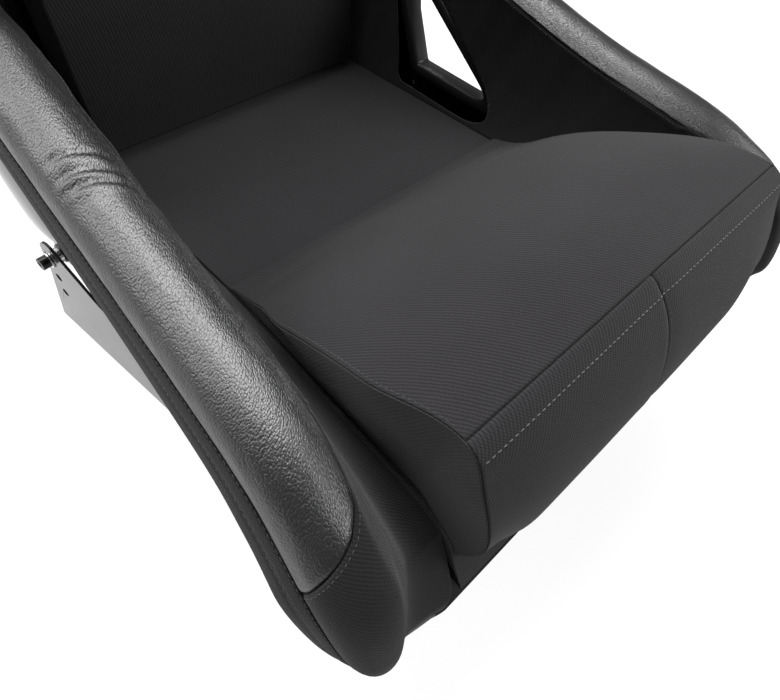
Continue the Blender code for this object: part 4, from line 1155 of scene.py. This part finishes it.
def build_back_cushion(name, levels, body, pressure, cap, fill, channel_gap=0.0):
    """A cushion on the back, with a pressed channel at a gap from its rim if one is given."""
    height = levels[-1][0] - levels[0][0]
    width = 2 * max(level[1] for level in levels)
    deep = max(level[3] - level[2] for level in levels)
    box = Box([edge_steps(length, 0.0080) for length in (width, height, deep)], slab_shape(levels, 0.004))
    obj = box.build(name + "_cover", SEAT_KNIT)
    a, b, c = box.abc.T
    edges = box.on_edges()
    inflate(obj, np.where(c < 1e-6, 1.0, np.where(edges, 0.6, 0.0)), pressure, cap)
    depth = np.where(edges, 0.0010, 0.0)
    face = c > 1 - 1e-9
    rim = np.minimum(np.minimum(a, 1 - a) * width, np.minimum(b, 1 - b) * height)
    if channel_gap:
        depth = np.maximum(depth, face * 0.0011 * np.exp(-((rim - channel_gap) / 0.0034)**2))
    push_in(obj, depth)
    subdivide(obj)
    belong(obj, body, "seat_knit", name, fill=fill)


def base_shape(abc):
    a, b, c = abc.T
    places = along(10.0, 0.12, 400, arc=MID_ARC)
    place = np.interp(b, np.linspace(0, 1, 400), places)
    look = lambda values: np.interp(place, PLACES, values)
    low, high = 0.0012, look(pad_height())
    front = 1 - ease(place, 0.12, 0.9)
    rise = low + (high - low) * c
    half = look(pad_edge()) - 0.0006 + 0.0028 * front
    s = look(MID_S) + look(UP[:, 0]) * rise
    z = look(MID_Z) + look(UP[:, 1]) * rise
    return np.stack([(2 * a - 1) * half, s, z], 1)


def build_base_pad():
    box = Box([edge_steps(length, 0.0095) for length in (0.350, 0.560, 0.060)], base_shape)
    obj = box.build("seat_base_pad_cover", SEAT_KNIT)
    a, _, c = box.abc.T
    pinned = box.on_edges() | (c < 1e-6) | (a < 1e-6) | (a > 1 - 1e-6)
    inflate(obj, np.where(pinned, 1.0, 0.0), 1.5, 0.0012)
    subdivide(obj)
    belong(obj, "seat", "seat_knit", "seat_base_pad", fill=0.8)


# ---------------------------------------------------------------- frames and metal parts
def moulding(name, corners, place, section):
    """A belt frame: its section swept around an opening."""
    rings = rings_through(corners, place, section)
    obj = outward(mesh_object(name + "_moulding", *ring_mesh(rings, True), PLASTIC, smooth=50.0))
    belong(obj, "seat", "frame_plastic", name)


# sections as (margin around the opening, level through it)
LAP_SECTION = [(FRAME_WALL, LAP_BACK_X - 0.0006)] + [(margin, LAP_FACE_X + rise) for margin, rise in (
    (FRAME_WALL, FRAME_FLANGE), (FRAME_BORDER - 0.0008, FRAME_FLANGE), (FRAME_BORDER, 0.0022),
    (FRAME_BORDER - 0.0003, 0.0012), (FRAME_BORDER - 0.0012, 0.0004), (FRAME_BORDER - 0.0026, 0.0),
    (0.0060, -0.0001), (0.0040, 0.0001), (0.0018, 0.0004), (0.0006, 0.0011), (0.0, 0.0024))]
LAP_SECTION += [(0.0, LAP_BACK_X - 0.0006), (0.0006, LAP_BACK_X), (FRAME_WALL - 0.0006, LAP_BACK_X)]
SLOT_SECTION = [(FRAME_WALL, -0.0174), (FRAME_WALL, 0.0076), (0.0076, 0.0076), (0.0080, 0.0088),
                (0.0074, 0.0098), (0.0060, 0.0105), (0.0022, 0.0105), (0.0008, 0.0100), (0.0, 0.0088),
                (0.0, -0.0174), (0.0006, -0.0180), (FRAME_WALL - 0.0006, -0.0180)]


def finish_cad(name, material, width):
    """A CAD node that keeps its shape, with eased edges and its own finish."""
    obj = NODES[name]
    obj.data.materials.clear()
    obj.data.materials.append(material)
    obj.modifiers.new("weld", "WELD").merge_threshold = 0.00002
    eased(obj, width, 38.0).harden_normals = True


# ---------------------------------------------------------------- stage
def build_stage():
    floor = mesh_object("studio_floor", [(-6, -6, 0), (6, -6, 0), (6, 6, 0), (-6, 6, 0)], [(0, 1, 2, 3)], None)
    s = Shader("studio_floor_paint", 0.9, Specular_IOR_Level=0.0, Emission_Strength=0.85,
               Emission_Color=(1.0, 1.0, 1.0, 1.0))
    s.color(s.noise(s.coords("Object"), 3.0, 2.0), (0.16, 0.16, 0.16), (0.18, 0.18, 0.18))
    floor.data.materials.append(s.material)
    world = bpy.data.worlds.new("studio")
    bpy.context.scene.world = world
    world.use_nodes = True
    world.node_tree.nodes["Background"].inputs["Color"].default_value = (0.98, 0.99, 1.0, 1.0)
    world.node_tree.nodes["Background"].inputs["Strength"].default_value = 0.17
    for name, place, target, size, power in (
            ("key", (0.20, 1.10, 2.35), (0.0, 0.0, 0.2), (2.1, 1.7), 150.0),
            ("side", (-1.50, 1.50, 1.40), (-0.2, -0.1, 0.25), (1.5, 1.2), 40.0),
            ("front", (1.5, -1.6, 2.0), (0.0, 0.1, 0.3), (1.4, 1.2), 52.0)):
        light = bpy.data.lights.new(name, "AREA")
        light.shape, light.size, light.size_y = "RECTANGLE", size[0], size[1]
        light.energy = power
        lamp = link(bpy.data.objects.new(name, light))
        lamp.location = place
        lamp.rotation_euler = (Vector(target) - Vector(place)).to_track_quat("-Z", "Y").to_euler()
    bpy.context.scene.view_settings.view_transform = "Standard"


def build_camera():
    """The photographer's view, close over the left front of the seat."""
    turn = Matrix.Translation((0.0, CREASE_Y, CREASE_Z)) @ Matrix.Rotation(-SEAT_PITCH, 4, "X")
    right, up = Vector((0.72443, -0.68614, 0.06642)), Vector((0.52907, 0.61518, 0.58450))
    ahead = Vector((0.44191, 0.38829, -0.80867))
    axes = turn.to_3x3()
    matrix = Matrix((axes @ right, axes @ up, -(axes @ ahead))).transposed().to_4x4()
    matrix.translation = turn @ Vector((-0.314956, -0.537896, 0.380108))
    camera = bpy.data.cameras.new("camera")
    camera.sensor_fit, camera.sensor_width, camera.lens = "HORIZONTAL", 36.0, 26.39
    camera.clip_start = 0.01
    obj = link(bpy.data.objects.new("camera", camera))
    obj.matrix_world = matrix
    bpy.context.scene.camera = obj


def main():
    build_camera()
    build_stage()
    build_shell()
    for side_name, side in SIDES:
        build_thigh_bolster(side_name, side)
        build_knit_bolster("torso_bolster_" + side_name, side, (11.12, 18.5),
                           0.018 - 0.004 * ease(PLACES, 16.0, 18.5),
                           ROLL_RADIUS - 0.007 * ease(PLACES, 16.5, 18.5), 0.0018)
        build_knit_bolster("head_bolster_" + side_name, side, (20.5, 23.5), 0.013 + 0 * PLACES,
                           0.019 + 0 * PLACES, 0.0022)
        moulding("lap_belt_frame_" + side_name, LAP_WINDOW, lap_place(side), LAP_SECTION)
        moulding("shoulder_belt_frame_" + side_name, mirrored(SHOULDER_SLOT, side), back_place, SLOT_SECTION)
        finish_cad(side_name + "_side_mount_bracket", POWDER, 0.0005)
        for label in ("rear", "front"):
            tail = "_%s_%s" % (label, side_name)
            for part, material, width in (("bolt", BLACK_STEEL, 0.0004), ("washer", ZINC, 0.0003),
                                          ("spacer_sleeve", ZINC, 0.0003), ("spacer_collar", COLLAR, 0.0004),
                                          ("threaded_insert", ZINC, 0.0003)):
                finish_cad(part + tail, material, width)
    build_base_pad()
    build_thigh_cushion()
    build_back_cushion("lumbar_cushion", LUMBAR_LEVELS, "lumbar_support", 4.0, 0.010, 0.8)
    build_back_cushion("backrest_pad", BACKREST_LEVELS, "seat", 3.0, 0.006, 0.7, 0.022)
    build_back_cushion("headrest_pad", HEADREST_LEVELS, "seat", 3.0, 0.006, 0.75, 0.016)


main()
bpy.context.view_layer.update()
